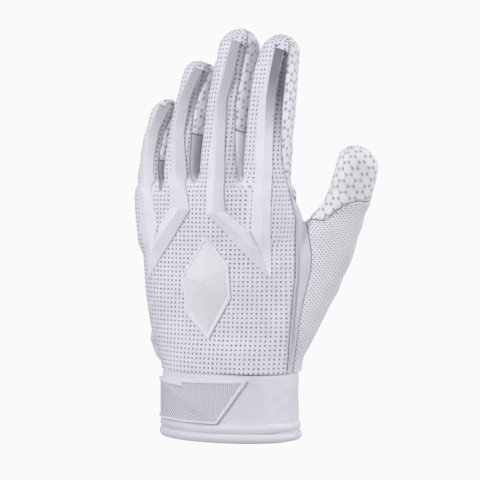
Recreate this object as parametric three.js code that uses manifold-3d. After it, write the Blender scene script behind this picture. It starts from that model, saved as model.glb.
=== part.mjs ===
// Football glove for the left hand, empty but keeping the form of a hand: back panel with raised ridges,
// grip palm, finger gussets, mesh thumb, side gusset with piping, stretch cuff, rolled hem and wrist strap.
// Millimetres, +Z from the wrist opening to the fingertips, the back of the hand toward -Y, thumb toward +X.
// The origin is the centre of the wrist opening, level with the lower edge of the hem.
import * as THREE from 'three';
import Module from 'manifold-3d';
import { mergeVertices } from 'three/addons/utils/BufferGeometryUtils.js';

const wasm = await Module();
wasm.setup();

// Hand sizes
const PALM_WIDTH = 97.5;
const PALM_DEPTH = 40;
const PALM_HEIGHT = 108;
const INDEX_LENGTH = 111;
const MIDDLE_LENGTH = 117;
const RING_LENGTH = 102.5;
const PINKY_LENGTH = 82.5;
const FINGER_WIDTH = 22.6;
const FINGER_DEPTH = 24;
const THUMB_LENGTH = 130;
const THUMB_WIDTH = 24.8;
const THUMB_DEPTH = 21;

// Cuff and hem sizes
const CUFF_WIDTH = 82;
const CUFF_DEPTH = 53;
const CUFF_HEIGHT = 38;
const CUFF_WALL = 1.8;
const HEM_HEIGHT = 10;
const HEM_THICKNESS = 3.4;
const UPPER_HEM_BULGE = 0.6;
const LOWER_HEM_BULGE = 1.4;

// Cloth and trim sizes
const WALL = 1.4;
const GAP = 0.3;
const RIDGE_HEIGHT = 3.2;
const RIDGE_EDGE = 0.7;
const PAD_WIDTH = 30;
const PAD_LENGTH = 58;
const PAD_HEIGHT = 4.2;
const PAD_EDGE = 1.2;
const PIPING_WIDTH = 2;
const STRAP_WIDTH = 24.5;
const STRAP_THICKNESS = 2;
const TAB_THICKNESS = 1.8;
const TAB_LENGTH = 21;
const TAB_WIDTH = 19;

// Fineness of the faceted surfaces
const PALM_SIDES = 28;
const FINGER_SIDES = 12;
const LINING_FINENESS = 0.75;
const CUFF_SIDES = 36;
const RIDGE_STEP = 8;
const BEAD_SIDES = 6;
const BEAD_STEPS = 14;
const STRAP_STEPS = 24;

const WHITE = 0xe9e9f0;
const GREY = 0xd3d3dc;

// Palm sections, from the cuff up. Heights are shares of the palm height, across and half widths are shares
// of half the palm width, depths are shares of half the palm depth. The cuff column blends into the cuff.
const PALM_ROWS = [
  { up: 0.0, across: -0.02, out: 0.1, width: 0.84, back: 1.25, front: 1.25, cuff: 1 },
  { up: 0.185, across: -0.07, out: 0.15, width: 0.935, back: 1.1, front: 1.15, cuff: 0 },
  { up: 0.39, across: -0.1, out: 0.15, width: 0.985, back: 0.975, front: 1.0, cuff: 0 },
  { up: 0.64, across: -0.135, out: 0.1, width: 1.0, back: 0.85, front: 0.85, cuff: 0 },
  { up: 0.85, across: -0.19, out: 0.05, width: 1.0, back: 0.775, front: 0.75, cuff: 0 },
  { up: 0.93, across: -0.21, out: 0.05, width: 0.985, back: 0.73, front: 0.68, cuff: 0 },
];
const PALM_CAP = 0.085;
const PALM_BEND_OUTER = 0.3;
const PALM_BEND_THUMB = 0.1;
const PALM_ROUNDNESS = 2.4;
const LIMB_ROUNDNESS = 2.2;

// Fingers. Root places are shares of half the palm width, half the palm depth and the palm height; leans are
// sideways steps for each step up; width, depth and bow are shares of the finger width and depth.
const FINGER_ROWS = [
  { name: 'index', across: 0.464, out: 0, up: 0.74, leanX: 0.049, leanY: 0.109, roll: 0,
    length: INDEX_LENGTH, width: 1.0, depth: 1.0, bow: 0.12 },
  { name: 'middle', across: -0.098, out: -0.1, up: 0.74, leanX: 0.057, leanY: 0.165, roll: 12,
    length: MIDDLE_LENGTH, width: 1.04, depth: 1.07, bow: 0.17 },
  { name: 'ring', across: -0.626, out: 0.1, up: 0.72, leanX: 0.081, leanY: 0.179, roll: 18,
    length: RING_LENGTH, width: 0.91, depth: 0.94, bow: 0.19 },
  { name: 'pinky', across: -1.0, out: 0.4, up: 0.685, leanX: 0.031, leanY: 0.198, roll: 24,
    length: PINKY_LENGTH, width: 0.76, depth: 0.77, bow: 0.15 },
];
// Section sizes along a finger, as shares of its own width and depth, and its sideways drift.
const FINGER_SECTIONS = [
  { along: 0.0, width: 1.05, depth: 1.03, drift: 0 },
  { along: 0.35, width: 1.06, depth: 1.01, drift: -0.03 },
  { along: 0.6, width: 1.03, depth: 0.99, drift: -0.03 },
  { along: 0.8, width: 0.98, depth: 0.96, drift: 0 },
  { along: 1.0, width: 0.91, depth: 0.92, drift: 0 },
];
const PINKY_SECTIONS = [
  { along: 0.0, width: 0.9, depth: 1.0, drift: 0.1 },
  { along: 0.35, width: 1.05, depth: 1.02, drift: -0.25 },
  { along: 0.6, width: 1.03, depth: 1.0, drift: -0.3 },
  { along: 0.8, width: 0.97, depth: 0.98, drift: -0.15 },
  { along: 1.0, width: 0.9, depth: 0.92, drift: 0 },
];
const THUMB_ROW = { name: 'thumb', across: 0.49, out: 0.6, up: 0.065, leanX: 0.393, leanY: 0.05, roll: -20,
  length: THUMB_LENGTH, width: 1, depth: 1, bow: -0.19 };
const THUMB_SECTIONS = [
  { along: 0.0, width: 1.4, depth: 1.9, drift: -0.56 },
  { along: 0.2, width: 1.5, depth: 1.8, drift: -0.28 },
  { along: 0.36, width: 1.46, depth: 1.5, drift: 0.1 },
  { along: 0.52, width: 1.24, depth: 1.2, drift: 0.38 },
  { along: 0.72, width: 1.0, depth: 1.0, drift: 0.48 },
  { along: 0.85, width: 0.98, depth: 0.95, drift: 0.4 },
  { along: 1.0, width: 0.95, depth: 0.9, drift: 0.12 },
];

// Seams. Angles in degrees are measured round a finger from the middle of its back.
const SEAM_THUMB_SIDE = 50;
const SEAM_OUTER_SIDE = 62;
const SEAM_START = 0.1;
const PALM_SEAM = 0.35;
const THUMB_SEAM = 0.05;
// Right edge of the back panel, and right edge of the smooth gusset beside it.
const BACK_EDGE = [
  { across: 0.745, up: -0.1 }, { across: 0.745, up: 0.05 }, { across: 0.785, up: 0.24 },
  { across: 0.81, up: 0.44 }, { across: 0.825, up: 0.6 }, { across: 0.815, up: 0.74 },
  { across: 0.775, up: 0.9 }, { across: 0.735, up: 1.02 },
];
const GUSSET_EDGE = [
  { across: 0.79, up: -0.1 }, { across: 0.8, up: 0.02 }, { across: 0.86, up: 0.18 },
  { across: 0.94, up: 0.43 }, { across: 0.97, up: 0.62 }, { across: 0.93, up: 0.76 },
  { across: 0.86, up: 0.88 }, { across: 0.772, up: 0.945 },
];
const PIPING_TOP = 0.97;
// Edge of the grip cap on the thumb, from the web outward, in the same shares.
const THUMB_CAP_EDGE = [
  { across: 0.93, up: 0.81 }, { across: 1.06, up: 0.82 }, { across: 1.2, up: 0.87 },
  { across: 1.34, up: 0.885 }, { across: 1.9, up: 0.875 },
];
const MESH_WEB_RISE = 0.06;
// Finger gussets: how far they reach up and down beside the fingers, as shares of the finger length.
const GUSSET_ROWS = [
  { name: 'gusset_pinky_ring', outer: 'pinky', inner: 'ring', low: 0.34, high: 0.56 },
  { name: 'gusset_ring_middle', outer: 'ring', inner: 'middle', low: 0.25, high: 0.52 },
  { name: 'gusset_middle_index', outer: 'middle', inner: 'index', low: 0.21, high: 0.47 },
];
const GUSSET_SIDE = 0.84;
const GUSSET_TIP = 0.07;

// Ridge rails: left edge, peak and right edge. On a finger they are shares of its half width at a share of
// its length; on the palm they are shares of half the palm width, each with its own height share.
const INDEX_RIDGE = [
  { on: 'index', along: 0.925, left: -0.06, peak: 0.08, right: 0.66 },
  { on: 'index', along: 0.74, left: -0.5, peak: -0.13, right: 0.48 },
  { on: 'index', along: 0.54, left: -0.68, peak: -0.15, right: 0.39 },
  { on: 'index', along: 0.25, left: -0.58, peak: 0.02, right: 0.43 },
  { on: 'index', along: 0.09, left: -0.48, peak: 0.1, right: 0.52 },
  { on: 'palm', left: [0.375, 0.7], peak: [0.492, 0.7], right: [0.595, 0.7] },
  { on: 'palm', left: [0.43, 0.6], peak: [0.488, 0.62], right: [0.597, 0.6] },
  { on: 'palm', left: [0.574, 0.5], peak: [0.585, 0.495], right: [0.6, 0.49] },
];
const MIDDLE_RIDGE = [
  { on: 'middle', along: 0.93, left: -0.1, peak: 0.04, right: 0.64 },
  { on: 'middle', along: 0.735, left: -0.53, peak: -0.22, right: 0.43 },
  { on: 'middle', along: 0.52, left: -0.6, peak: -0.27, right: 0.3 },
  { on: 'middle', along: 0.24, left: -0.45, peak: -0.08, right: 0.45 },
  { on: 'palm', left: [-0.165, 0.88], peak: [-0.08, 0.88], right: [0.05, 0.88] },
  { on: 'palm', left: [-0.13, 0.8], peak: [-0.07, 0.82], right: [0.055, 0.835] },
  { on: 'palm', left: [0.22, 0.65], peak: [0.21, 0.72], right: [0.21, 0.785] },
  { on: 'palm', left: [0.57, 0.5], peak: [0.488, 0.62], right: [0.36, 0.735] },
];
const PINKY_RIDGE = [
  { on: 'pinky', along: 0.95, left: -0.6, peak: -0.42, right: 0.42 },
  { on: 'pinky', along: 0.78, left: -0.86, peak: -0.66, right: 0.2 },
  { on: 'pinky', along: 0.56, left: -0.86, peak: -0.62, right: 0.08 },
  { on: 'pinky', along: 0.34, left: -0.75, peak: -0.45, right: 0.3 },
  { on: 'palm', left: [-1.11, 0.82], peak: [-1.06, 0.82], right: [-0.9, 0.82] },
  { on: 'palm', left: [-1.09, 0.7], peak: [-1.03, 0.7], right: [-0.87, 0.7] },
  { on: 'palm', left: [-1.04, 0.57], peak: [-0.99, 0.575], right: [-0.86, 0.55] },
];
const RING_RIDGE = [
  { on: 'ring', along: 0.94, left: -0.1, peak: 0.06, right: 0.66 },
  { on: 'ring', along: 0.766, left: -0.75, peak: -0.52, right: 0.22 },
  { on: 'ring', along: 0.625, left: -0.82, peak: -0.62, right: 0.0 },
  { on: 'ring', along: 0.46, left: -0.72, peak: -0.42, right: 0.25 },
  { on: 'ring', along: 0.3, left: -0.42, peak: -0.06, right: 0.6 },
  { on: 'palm', left: [-0.64, 0.86], peak: [-0.535, 0.86], right: [-0.4, 0.865] },
  { on: 'palm', left: [-0.65, 0.83], peak: [-0.55, 0.815], right: [-0.415, 0.805] },
  { on: 'palm', left: [-1.0, 0.64], peak: [-0.985, 0.58], right: [-0.86, 0.545] },
];
// Raised pad on the back of the hand: centre, and outline as shares of half its width and length.
const PAD_CENTRE = { across: -0.16, up: 0.445 };
const PAD_OUTLINE = [[0, 1], [0.9, 0.42], [1, -0.2], [0.2, -1], [-0.75, -0.5], [-1, 0.2]];
const PAD_PEAK = [-0.05, 0.12];

// Strap ends, as shares of half the cuff width across, and the rise of its top edge toward the free end.
const STRAP_TOP_END = 0.45;
const STRAP_BOTTOM_END = 0.04;
const STRAP_START = -0.2;
const STRAP_DROP = 0.14;

const clamp = (value, low, high) => Math.min(high, Math.max(low, value));
const mix = (a, b, t) => a + (b - a) * t;
const radians = (degrees) => degrees * Math.PI / 180;
const vec = (x, y, z) => new THREE.Vector3(x, y, z);

// Value of a column of a table at a place along it, straight between the rows.
function column(rows, key, place, name) {
  if (place <= rows[0][key]) {
    return rows[0][name];
  }
  for (let i = 1; i < rows.length; i += 1) {
    const a = rows[i - 1];
    const b = rows[i];
    if (place <= b[key]) {
      return mix(a[name], b[name], (place - a[key]) / (b[key] - a[key]));
    }
  }
  return rows[rows.length - 1][name];
}

// Signed power, which squares a circle into a rounded box.
function soften(value, roundness) {
  return Math.sign(value) * Math.abs(value) ** (2 / roundness);
}

const upToZ = (up) => CUFF_HEIGHT + up * PALM_HEIGHT;
const acrossToX = (across) => across * PALM_WIDTH / 2;

// The palm's section at a height.
function palmSection(z) {
  const up = clamp((z - CUFF_HEIGHT) / PALM_HEIGHT, 0, 2);
  const get = (name) => column(PALM_ROWS, 'up', up, name);
  const blend = get('cuff');
  return {
    x: acrossToX(get('across')),
    y: get('out') * PALM_DEPTH / 2,
    a: mix(get('width') * PALM_WIDTH / 2, CUFF_WIDTH / 2, blend),
    back: mix(get('back') * PALM_DEPTH / 2, CUFF_DEPTH / 2 - WALL, blend),
    front: mix(get('front') * PALM_DEPTH / 2, CUFF_DEPTH / 2 - WALL, blend),
  };
}

const palmCapZ = upToZ(PALM_ROWS[PALM_ROWS.length - 1].up);
const palmCapHeight = PALM_CAP * PALM_HEIGHT;

function palmBend(across) {
  const bend = across < 0 ? PALM_BEND_OUTER : PALM_BEND_THUMB;
  return bend * PALM_DEPTH / 2 * across * across;
}

// A finger or the thumb, with its own axes: along, u across toward the thumb, w toward the grip side.
function makeLimb(row, sections, width, depth) {
  const root = vec(acrossToX(row.across), row.out * PALM_DEPTH / 2, upToZ(row.up));
  const bow = row.bow * depth;
  const along = vec(row.leanX, row.leanY, 1).normalize();
  const roll = radians(row.roll);
  const grip = vec(Math.sin(roll), Math.cos(roll), 0);
  const w = grip.clone().addScaledVector(along, -grip.dot(along)).normalize();
  const u = vec(0, 0, 0).crossVectors(along, w);
  if (u.x < 0) {
    u.negate();
  }
  const a = row.width * width / 2;
  const b = row.depth * depth / 2;
  const last = sections[sections.length - 1];
  const tip = Math.min(a * last.width, b * last.depth);
  return { root, along, u, w, a, b, sections, tip, bow, length: row.length };
}

const limbs = {};
FINGER_ROWS.forEach((row) => {
  const sections = row.name === 'pinky' ? PINKY_SECTIONS : FINGER_SECTIONS;
  limbs[row.name] = makeLimb(row, sections, FINGER_WIDTH, FINGER_DEPTH);
});
limbs.thumb = makeLimb(THUMB_ROW, THUMB_SECTIONS, THUMB_WIDTH, THUMB_DEPTH);
const fingers = FINGER_ROWS.map((row) => limbs[row.name]);

// Centre and half sizes of a limb at a share of its length.
function limbSection(limb, share) {
  const s = clamp(share, 0, 1);
  const centre = limb.root.clone().addScaledVector(limb.along, limb.length * share);
  centre.addScaledVector(limb.w, -limb.bow * s * (1 - s) * 4);
  centre.addScaledVector(limb.u, limb.a * column(limb.sections, 'along', s, 'drift'));
  return {
    centre,
    a: limb.a * column(limb.sections, 'along', s, 'width'),
    b: limb.b * column(limb.sections, 'along', s, 'depth'),
  };
}

// True where a point lies inside the outer form of the glove.
function insideForm(x, y, z) {
  const palm = palmSection(z);
  const across = (x - palm.x) / palm.a;
  const out = y - palm.y - palmBend(across);
  const depth = out < 0 ? palm.back : palm.front;
  const rise = Math.max(0, (z - palmCapZ) / palmCapHeight);
  const level = Math.abs(across) ** PALM_ROUNDNESS + Math.abs(out / depth) ** PALM_ROUNDNESS;
  if (level ** (2 / PALM_ROUNDNESS) + rise * rise < 1) {
    return true;
  }
  return Object.values(limbs).some((limb) => {
    const point = vec(x, y, z);
    const share = point.clone().sub(limb.root).dot(limb.along) / limb.length;
    if (share < 0 || share > 1) {
      return false;
    }
    const section = limbSection(limb, share);
    const local = point.sub(section.centre);
    const cap = Math.max(0, ((share - 1) * limb.length + limb.tip) / limb.tip);
    const side = Math.abs(local.dot(limb.u) / section.a) ** LIMB_ROUNDNESS;
    const front = Math.abs(local.dot(limb.w) / section.b) ** LIMB_ROUNDNESS;
    return (side + front) ** (2 / LIMB_ROUNDNESS) + cap * cap < 1;
  });
}

// The back surface of the glove under a point of the front view, found from far behind the hand.
function backSurface(x, z) {
  const far = -PALM_DEPTH * 1.5;
  const step = PALM_DEPTH / 50;
  let y = far;
  while (y < PALM_DEPTH && !insideForm(x, y, z)) {
    y += step;
  }
  if (y >= PALM_DEPTH) {
    return palmSection(z).y;
  }
  let low = y - step;
  let high = y;
  for (let i = 0; i < 12; i += 1) {
    const middle = (low + high) / 2;
    if (insideForm(x, middle, z)) {
      high = middle;
    } else {
      low = middle;
    }
  }
  return high;
}

// Closed solid through rings that have the same number of points each, with flat ends.
function loft(rings) {
  const count = rings[0].length;
  const positions = [];
  const faces = [];
  rings.forEach((ring) => ring.forEach((p) => positions.push(p.x, p.y, p.z)));
  for (let r = 0; r + 1 < rings.length; r += 1) {
    for (let i = 0; i < count; i += 1) {
      const j = (i + 1) % count;
      const a = r * count + i;
      const b = r * count + j;
      faces.push(a, b, b + count, a, b + count, a + count);
    }
  }
  [0, rings.length - 1].forEach((r) => {
    const middle = rings[r].reduce((sum, p) => sum.add(p), vec(0, 0, 0)).multiplyScalar(1 / count);
    const centre = positions.length / 3;
    positions.push(middle.x, middle.y, middle.z);
    for (let i = 0; i < count; i += 1) {
      const a = r * count + i;
      const b = r * count + (i + 1) % count;
      if (r === 0) {
        faces.push(a, centre, b);
      } else {
        faces.push(a, b, centre);
      }
    }
  });
  return geometryOf(positions, faces);
}

// Closed ring-shaped solid: sections placed round a loop.
function loop(sections) {
  const count = sections[0].length;
  const total = sections.length;
  const positions = [];
  const faces = [];
  sections.forEach((section) => section.forEach((p) => positions.push(p.x, p.y, p.z)));
  for (let r = 0; r < total; r += 1) {
    for (let i = 0; i < count; i += 1) {
      const j = (i + 1) % count;
      const a = r * count + i;
      const b = r * count + j;
      const c = ((r + 1) % total) * count + j;
      const d = ((r + 1) % total) * count + i;
      faces.push(a, b, c, a, c, d);
    }
  }
  return geometryOf(positions, faces);
}

function geometryOf(positions, faces) {
  const geometry = new THREE.BufferGeometry();
  geometry.setAttribute('position', new THREE.Float32BufferAttribute(positions, 3));
  geometry.setIndex(faces);
  return volumeOf(geometry) < 0 ? flipped(geometry) : geometry;
}

function flipped(geometry) {
  const index = Array.from(geometry.index.array);
  for (let i = 0; i < index.length; i += 3) {
    [index[i], index[i + 1]] = [index[i + 1], index[i]];
  }
  geometry.setIndex(index);
  return geometry;
}

function volumeOf(geometry) {
  const index = geometry.index.array;
  const place = geometry.attributes.position;
  const corner = (i) => vec(0, 0, 0).fromBufferAttribute(place, i);
  let volume = 0;
  for (let i = 0; i < index.length; i += 3) {
    volume += corner(index[i]).dot(corner(index[i + 1]).cross(corner(index[i + 2])));
  }
  return volume / 6;
}

function solidOf(geometry) {
  const plain = geometry.clone();
  plain.deleteAttribute('normal');
  plain.deleteAttribute('uv');
  const merged = mergeVertices(plain);
  return new wasm.Manifold(new wasm.Mesh({
    numProp: 3,
    vertProperties: new Float32Array(merged.attributes.position.array),
    triVerts: new Uint32Array(merged.index.array),
  }));
}

const joined = (solids) => solids.reduce((sum, solid) => sum.add(solid));
const without = (solid, cutters) => cutters.reduce((rest, cutter) => rest.subtract(cutter), solid);

// The largest connected body of a solid as a geometry: slivers left by a seam are dropped.
function mainBody(solid) {
  const mesh = solid.getMesh();
  const parent = Array.from({ length: mesh.vertProperties.length / mesh.numProp }, (_, i) => i);
  const find = (i) => {
    let top = i;
    while (parent[top] !== top) {
      parent[top] = parent[parent[top]];
      top = parent[top];
    }
    return top;
  };
  for (let i = 0; i < mesh.triVerts.length; i += 3) {
    parent[find(mesh.triVerts[i])] = find(mesh.triVerts[i + 1]);
    parent[find(mesh.triVerts[i + 1])] = find(mesh.triVerts[i + 2]);
  }
  const bodies = new Map();
  for (let i = 0; i < mesh.triVerts.length; i += 3) {
    const key = find(mesh.triVerts[i]);
    if (!bodies.has(key)) {
      bodies.set(key, []);
    }
    bodies.get(key).push(mesh.triVerts[i], mesh.triVerts[i + 1], mesh.triVerts[i + 2]);
  }
  const shapes = [...bodies.values()].map((faces) => {
    const order = new Map();
    const positions = [];
    const index = faces.map((i) => {
      if (!order.has(i)) {
        order.set(i, order.size);
        const at = i * mesh.numProp;
        positions.push(mesh.vertProperties[at], mesh.vertProperties[at + 1], mesh.vertProperties[at + 2]);
      }
      return order.get(i);
    });
    const geometry = new THREE.BufferGeometry();
    geometry.setAttribute('position', new THREE.Float32BufferAttribute(positions, 3));
    geometry.setIndex(index);
    return geometry;
  });
  shapes.sort((a, b) => volumeOf(b) - volumeOf(a));
  return shapes[0];
}

// Solid between two Y levels with an outline in the front view.
function prismY(outline, near, far) {
  const ring = (y) => outline.map(([x, z]) => vec(x, y, z));
  return solidOf(loft([ring(near), ring(far)]));
}

// The palm form, larger by grow all round, from a chosen height up.
function palmForm(grow, bottom, fineness = 1) {
  const sides = Math.round(PALM_SIDES * fineness);
  const ringAt = (z, scale, height) => {
    const section = palmSection(z);
    return Array.from({ length: sides }, (_, i) => {
      const angle = i / sides * Math.PI * 2;
      const across = soften(Math.cos(angle), PALM_ROUNDNESS);
      const out = soften(Math.sin(angle), PALM_ROUNDNESS);
      const depth = (out < 0 ? section.back : section.front) + grow;
      const x = section.x + (section.a + grow) * across * scale;
      const y = section.y + palmBend(across * scale) + depth * out * scale;
      return vec(x, y, height);
    });
  };
  const rings = [ringAt(bottom, 1, bottom)];
  PALM_ROWS.slice(bottom < CUFF_HEIGHT ? 0 : 1).forEach((row) => {
    rings.push(ringAt(upToZ(row.up), 1, upToZ(row.up)));
  });
  [0.35, 0.65, 0.88].forEach((rise) => {
    const height = palmCapZ + (palmCapHeight + grow) * rise;
    rings.push(ringAt(palmCapZ, Math.sqrt(1 - rise * rise), height));
  });
  rings.push(ringAt(palmCapZ, 0.12, palmCapZ + palmCapHeight + grow));
  return solidOf(loft(rings));
}

// A finger or thumb form, larger by grow all round.
function limbForm(limb, grow, fineness = 1) {
  const sides = Math.round(FINGER_SIDES * fineness);
  const capStart = 1 - limb.tip / limb.length;
  const ringAt = (share, scale, push) => {
    const section = limbSection(limb, share);
    return Array.from({ length: sides }, (_, i) => {
      const angle = (i + 0.5) / sides * Math.PI * 2;
      const across = (section.a + grow) * scale * soften(Math.cos(angle), LIMB_ROUNDNESS);
      const out = (section.b + grow) * scale * soften(Math.sin(angle), LIMB_ROUNDNESS);
      const point = section.centre.clone().addScaledVector(limb.along, push);
      return point.addScaledVector(limb.u, across).addScaledVector(limb.w, out);
    });
  };
  const shares = [0, 0.13, 0.27, 0.41, 0.55, 0.69, 0.83].filter((share) => share < capStart - 0.04);
  const rings = shares.map((share) => ringAt(share, 1, 0));
  [0, 0.5, 0.85].forEach((rise) => {
    rings.push(ringAt(mix(capStart, 1, rise), Math.sqrt(1 - rise * rise), grow * rise));
  });
  rings.push(ringAt(1, 0.18, grow));
  return solidOf(loft(rings));
}

// The whole hand form as one solid.
function handForm(grow, bottom, fineness = 1) {
  return joined([
    palmForm(grow, bottom, fineness),
    ...Object.values(limbs).map((limb) => limbForm(limb, grow, fineness)),
  ]);
}

// Region on the back of a finger, a wedge from its middle line outward between its two side seams.
function backWedge(limb, grow) {
  const shift = grow * 1.4;
  const reach = 1.6 * limb.a;
  const right = reach * Math.sin(radians(SEAM_THUMB_SIDE));
  const rightOut = reach * Math.cos(radians(SEAM_THUMB_SIDE));
  const left = reach * Math.sin(radians(SEAM_OUTER_SIDE));
  const leftOut = reach * Math.cos(radians(SEAM_OUTER_SIDE));
  const shares = [SEAM_START, 0.25, 0.4, 0.55, 0.7, 0.85, 1, 1.12];
  return solidOf(loft(shares.map((share) => {
    const centre = limbSection(limb, share).centre.addScaledVector(limb.w, shift);
    const at = (across, out) => centre.clone().addScaledVector(limb.u, across).addScaledVector(limb.w, out);
    return [
      at(0, 0),
      at(right, -rightOut),
      at(right, -1.3 * reach),
      at(-left, -1.3 * reach),
      at(-left, -leftOut),
    ];
  })));
}

const edgeOf = (rows, shift) => rows.map((row) => [acrossToX(row.across) + shift, upToZ(row.up)]);
const farSide = PALM_WIDTH * 1.3;
const farTop = CUFF_HEIGHT + PALM_HEIGHT + MIDDLE_LENGTH + THUMB_LENGTH;
const farOut = PALM_DEPTH * 1.6;
const seamY = PALM_SEAM * PALM_DEPTH / 2;

// Region of the back panel: the back of the palm up to its right edge, and the backs of the fingers.
function backRegion(grow) {
  const edge = edgeOf(BACK_EDGE, grow);
  const outline = [...edge, [-farSide, edge[edge.length - 1][1]], [-farSide, edge[0][1]]];
  return joined([prismY(outline, -farOut, seamY + grow), ...fingers.map((limb) => backWedge(limb, grow))]);
}

// Region of the smooth gusset beside the back panel.
function sideRegion(grow) {
  const left = edgeOf(BACK_EDGE, GAP - grow).slice(0, -2);
  const right = edgeOf(GUSSET_EDGE, grow).reverse();
  return prismY([...left, ...right], -farOut, limbs.thumb.root.y + grow);
}

// Region of the mesh: the back of the thumb and of the heel of the thumb.
function meshRegion(grow) {
  const edge = edgeOf(GUSSET_EDGE, GAP - grow).slice(0, -1);
  const web = THUMB_CAP_EDGE[0];
  const top = upToZ(web.up + MESH_WEB_RISE);
  const outline = [...edge, [edge[edge.length - 1][0], top], [acrossToX(web.across), top],
    [acrossToX(web.across), farTop], [farSide, farTop], [farSide, edge[0][1]]];
  const limb = limbs.thumb;
  const level = THUMB_SEAM * limb.b + grow;
  const at = (along, across, out) => limb.root.clone().addScaledVector(limb.along, along)
    .addScaledVector(limb.u, across).addScaledVector(limb.w, out);
  const ring = (along) => [at(along, -farSide, level), at(along, farSide, level),
    at(along, farSide, -farSide), at(along, -farSide, -farSide)];
  const half = solidOf(loft([ring(-farSide), ring(farTop)]));
  return prismY(outline, -farOut, farOut).intersect(half);
}

// Region of the grip cap on the upper thumb.
function capRegion(grow) {
  const edge = THUMB_CAP_EDGE.map((row) => [acrossToX(row.across), upToZ(row.up) - grow]);
  edge[0][0] -= grow;
  return prismY([...edge, [farSide, farTop], [edge[0][0], farTop]], -farOut, farOut);
}

// Region of a finger gusset: the facing sides of two fingers and the web between them.
function gussetRegion(row, grow) {
  const outer = limbs[row.outer];
  const inner = limbs[row.inner];
  const shares = [row.low, mix(row.low, row.high, 0.25), mix(row.low, row.high, 0.6), row.high];
  const height = shares.map((share) => outer.root.z + outer.along.z * outer.length * share);
  const sideAt = (limb, z, sign) => {
    const share = (z - limb.root.z) / (limb.length * limb.along.z);
    const section = limbSection(limb, share);
    return section.centre.x + sign * section.a * limb.u.x * GUSSET_SIDE;
  };
  const left = height.map((z) => [sideAt(outer, z, 1), z]);
  const right = height.map((z) => [sideAt(inner, z, -1), z]);
  const tip = [(left[0][0] + right[0][0]) / 2, height[0] - PALM_HEIGHT * GUSSET_TIP];
  const outline = [
    [tip[0], tip[1] - grow],
    ...right.map(([x, z]) => [x + grow, z]),
    [right[3][0] + grow, right[3][1] + grow],
    [left[3][0] - grow, left[3][1] + grow],
    ...left.map(([x, z]) => [x - grow, z]).reverse(),
  ];
  return prismY(grow > 0 ? outline : outline.filter((_, i) => i !== 5 && i !== 6), -farOut, farOut * 1.5);
}

// Rails of a ridge as points of the front view, with more steps between the rows of its table.
function ridgeRails(rows) {
  const places = rows.map((row) => ['left', 'peak', 'right'].map((rail) => {
    if (row.on === 'palm') {
      return vec(acrossToX(row[rail][0]), 0, upToZ(row[rail][1]));
    }
    const limb = limbs[row.on];
    const section = limbSection(limb, row.along);
    return section.centre.clone().addScaledVector(limb.u, row[rail] * section.a);
  }));
  const dense = [];
  for (let i = 0; i + 1 < places.length; i += 1) {
    const steps = Math.max(1, Math.round(places[i][1].distanceTo(places[i + 1][1]) / RIDGE_STEP));
    for (let k = 0; k < steps; k += 1) {
      dense.push(places[i].map((p, rail) => p.clone().lerp(places[i + 1][rail], k / steps)));
    }
  }
  dense.push(places[places.length - 1]);
  return dense;
}

// One leg of a ridge: a lopsided gable standing on the back surface, with its foot sunk below it.
function ridgeLeg(rows) {
  return solidOf(loft(ridgeRails(rows).map(([left, peak, right]) => {
    const on = (p, height) => vec(p.x, backSurface(p.x, p.z) - height, p.z);
    return [on(left, RIDGE_EDGE), on(peak, RIDGE_HEIGHT), on(right, RIDGE_EDGE),
      on(right, -2 * RIDGE_HEIGHT), on(left, -2 * RIDGE_HEIGHT)];
  })));
}

// Faceted pad on the back of the hand.
function padForm() {
  const centre = vec(acrossToX(PAD_CENTRE.across), 0, upToZ(PAD_CENTRE.up));
  const spot = ([x, z], height) => {
    const px = centre.x + x * PAD_WIDTH / 2;
    const pz = centre.z + z * PAD_LENGTH / 2;
    return vec(px, backSurface(px, pz) - height, pz);
  };
  const top = PAD_OUTLINE.map((place) => spot(place, PAD_EDGE));
  const foot = PAD_OUTLINE.map((place) => spot(place, -2 * PAD_HEIGHT));
  const peak = spot(PAD_PEAK, PAD_HEIGHT);
  const base = spot(PAD_PEAK, -2 * PAD_HEIGHT);
  const count = PAD_OUTLINE.length;
  const positions = [...top, ...foot, peak, base].flatMap((p) => [p.x, p.y, p.z]);
  const faces = [];
  for (let i = 0; i < count; i += 1) {
    const j = (i + 1) % count;
    faces.push(i, j, 2 * count);
    faces.push(j, i, count + i, j, count + i, count + j);
    faces.push(count + j, count + i, 2 * count + 1);
  }
  return solidOf(geometryOf(positions, faces));
}

// Bead along the right edge of the back panel.
function pipingForm() {
  const edge = edgeOf(BACK_EDGE, GAP / 2);
  const low = CUFF_HEIGHT + GAP;
  const high = upToZ(PIPING_TOP);
  const rows = edge.map(([x, height]) => ({ x, height }));
  const xAt = (z) => column(rows, 'height', z, 'x');
  const rings = Array.from({ length: BEAD_STEPS + 1 }, (_, i) => {
    const z = mix(low, high, i / BEAD_STEPS);
    const centre = vec(xAt(z), backSurface(xAt(z), z), z);
    return Array.from({ length: BEAD_SIDES }, (__, k) => {
      const angle = (k + 0.5) / BEAD_SIDES * Math.PI * 2;
      const radius = PIPING_WIDTH / 2;
      return vec(centre.x + radius * Math.cos(angle), centre.y + radius * Math.sin(angle), z);
    });
  });
  return solidOf(loft(rings));
}

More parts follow.
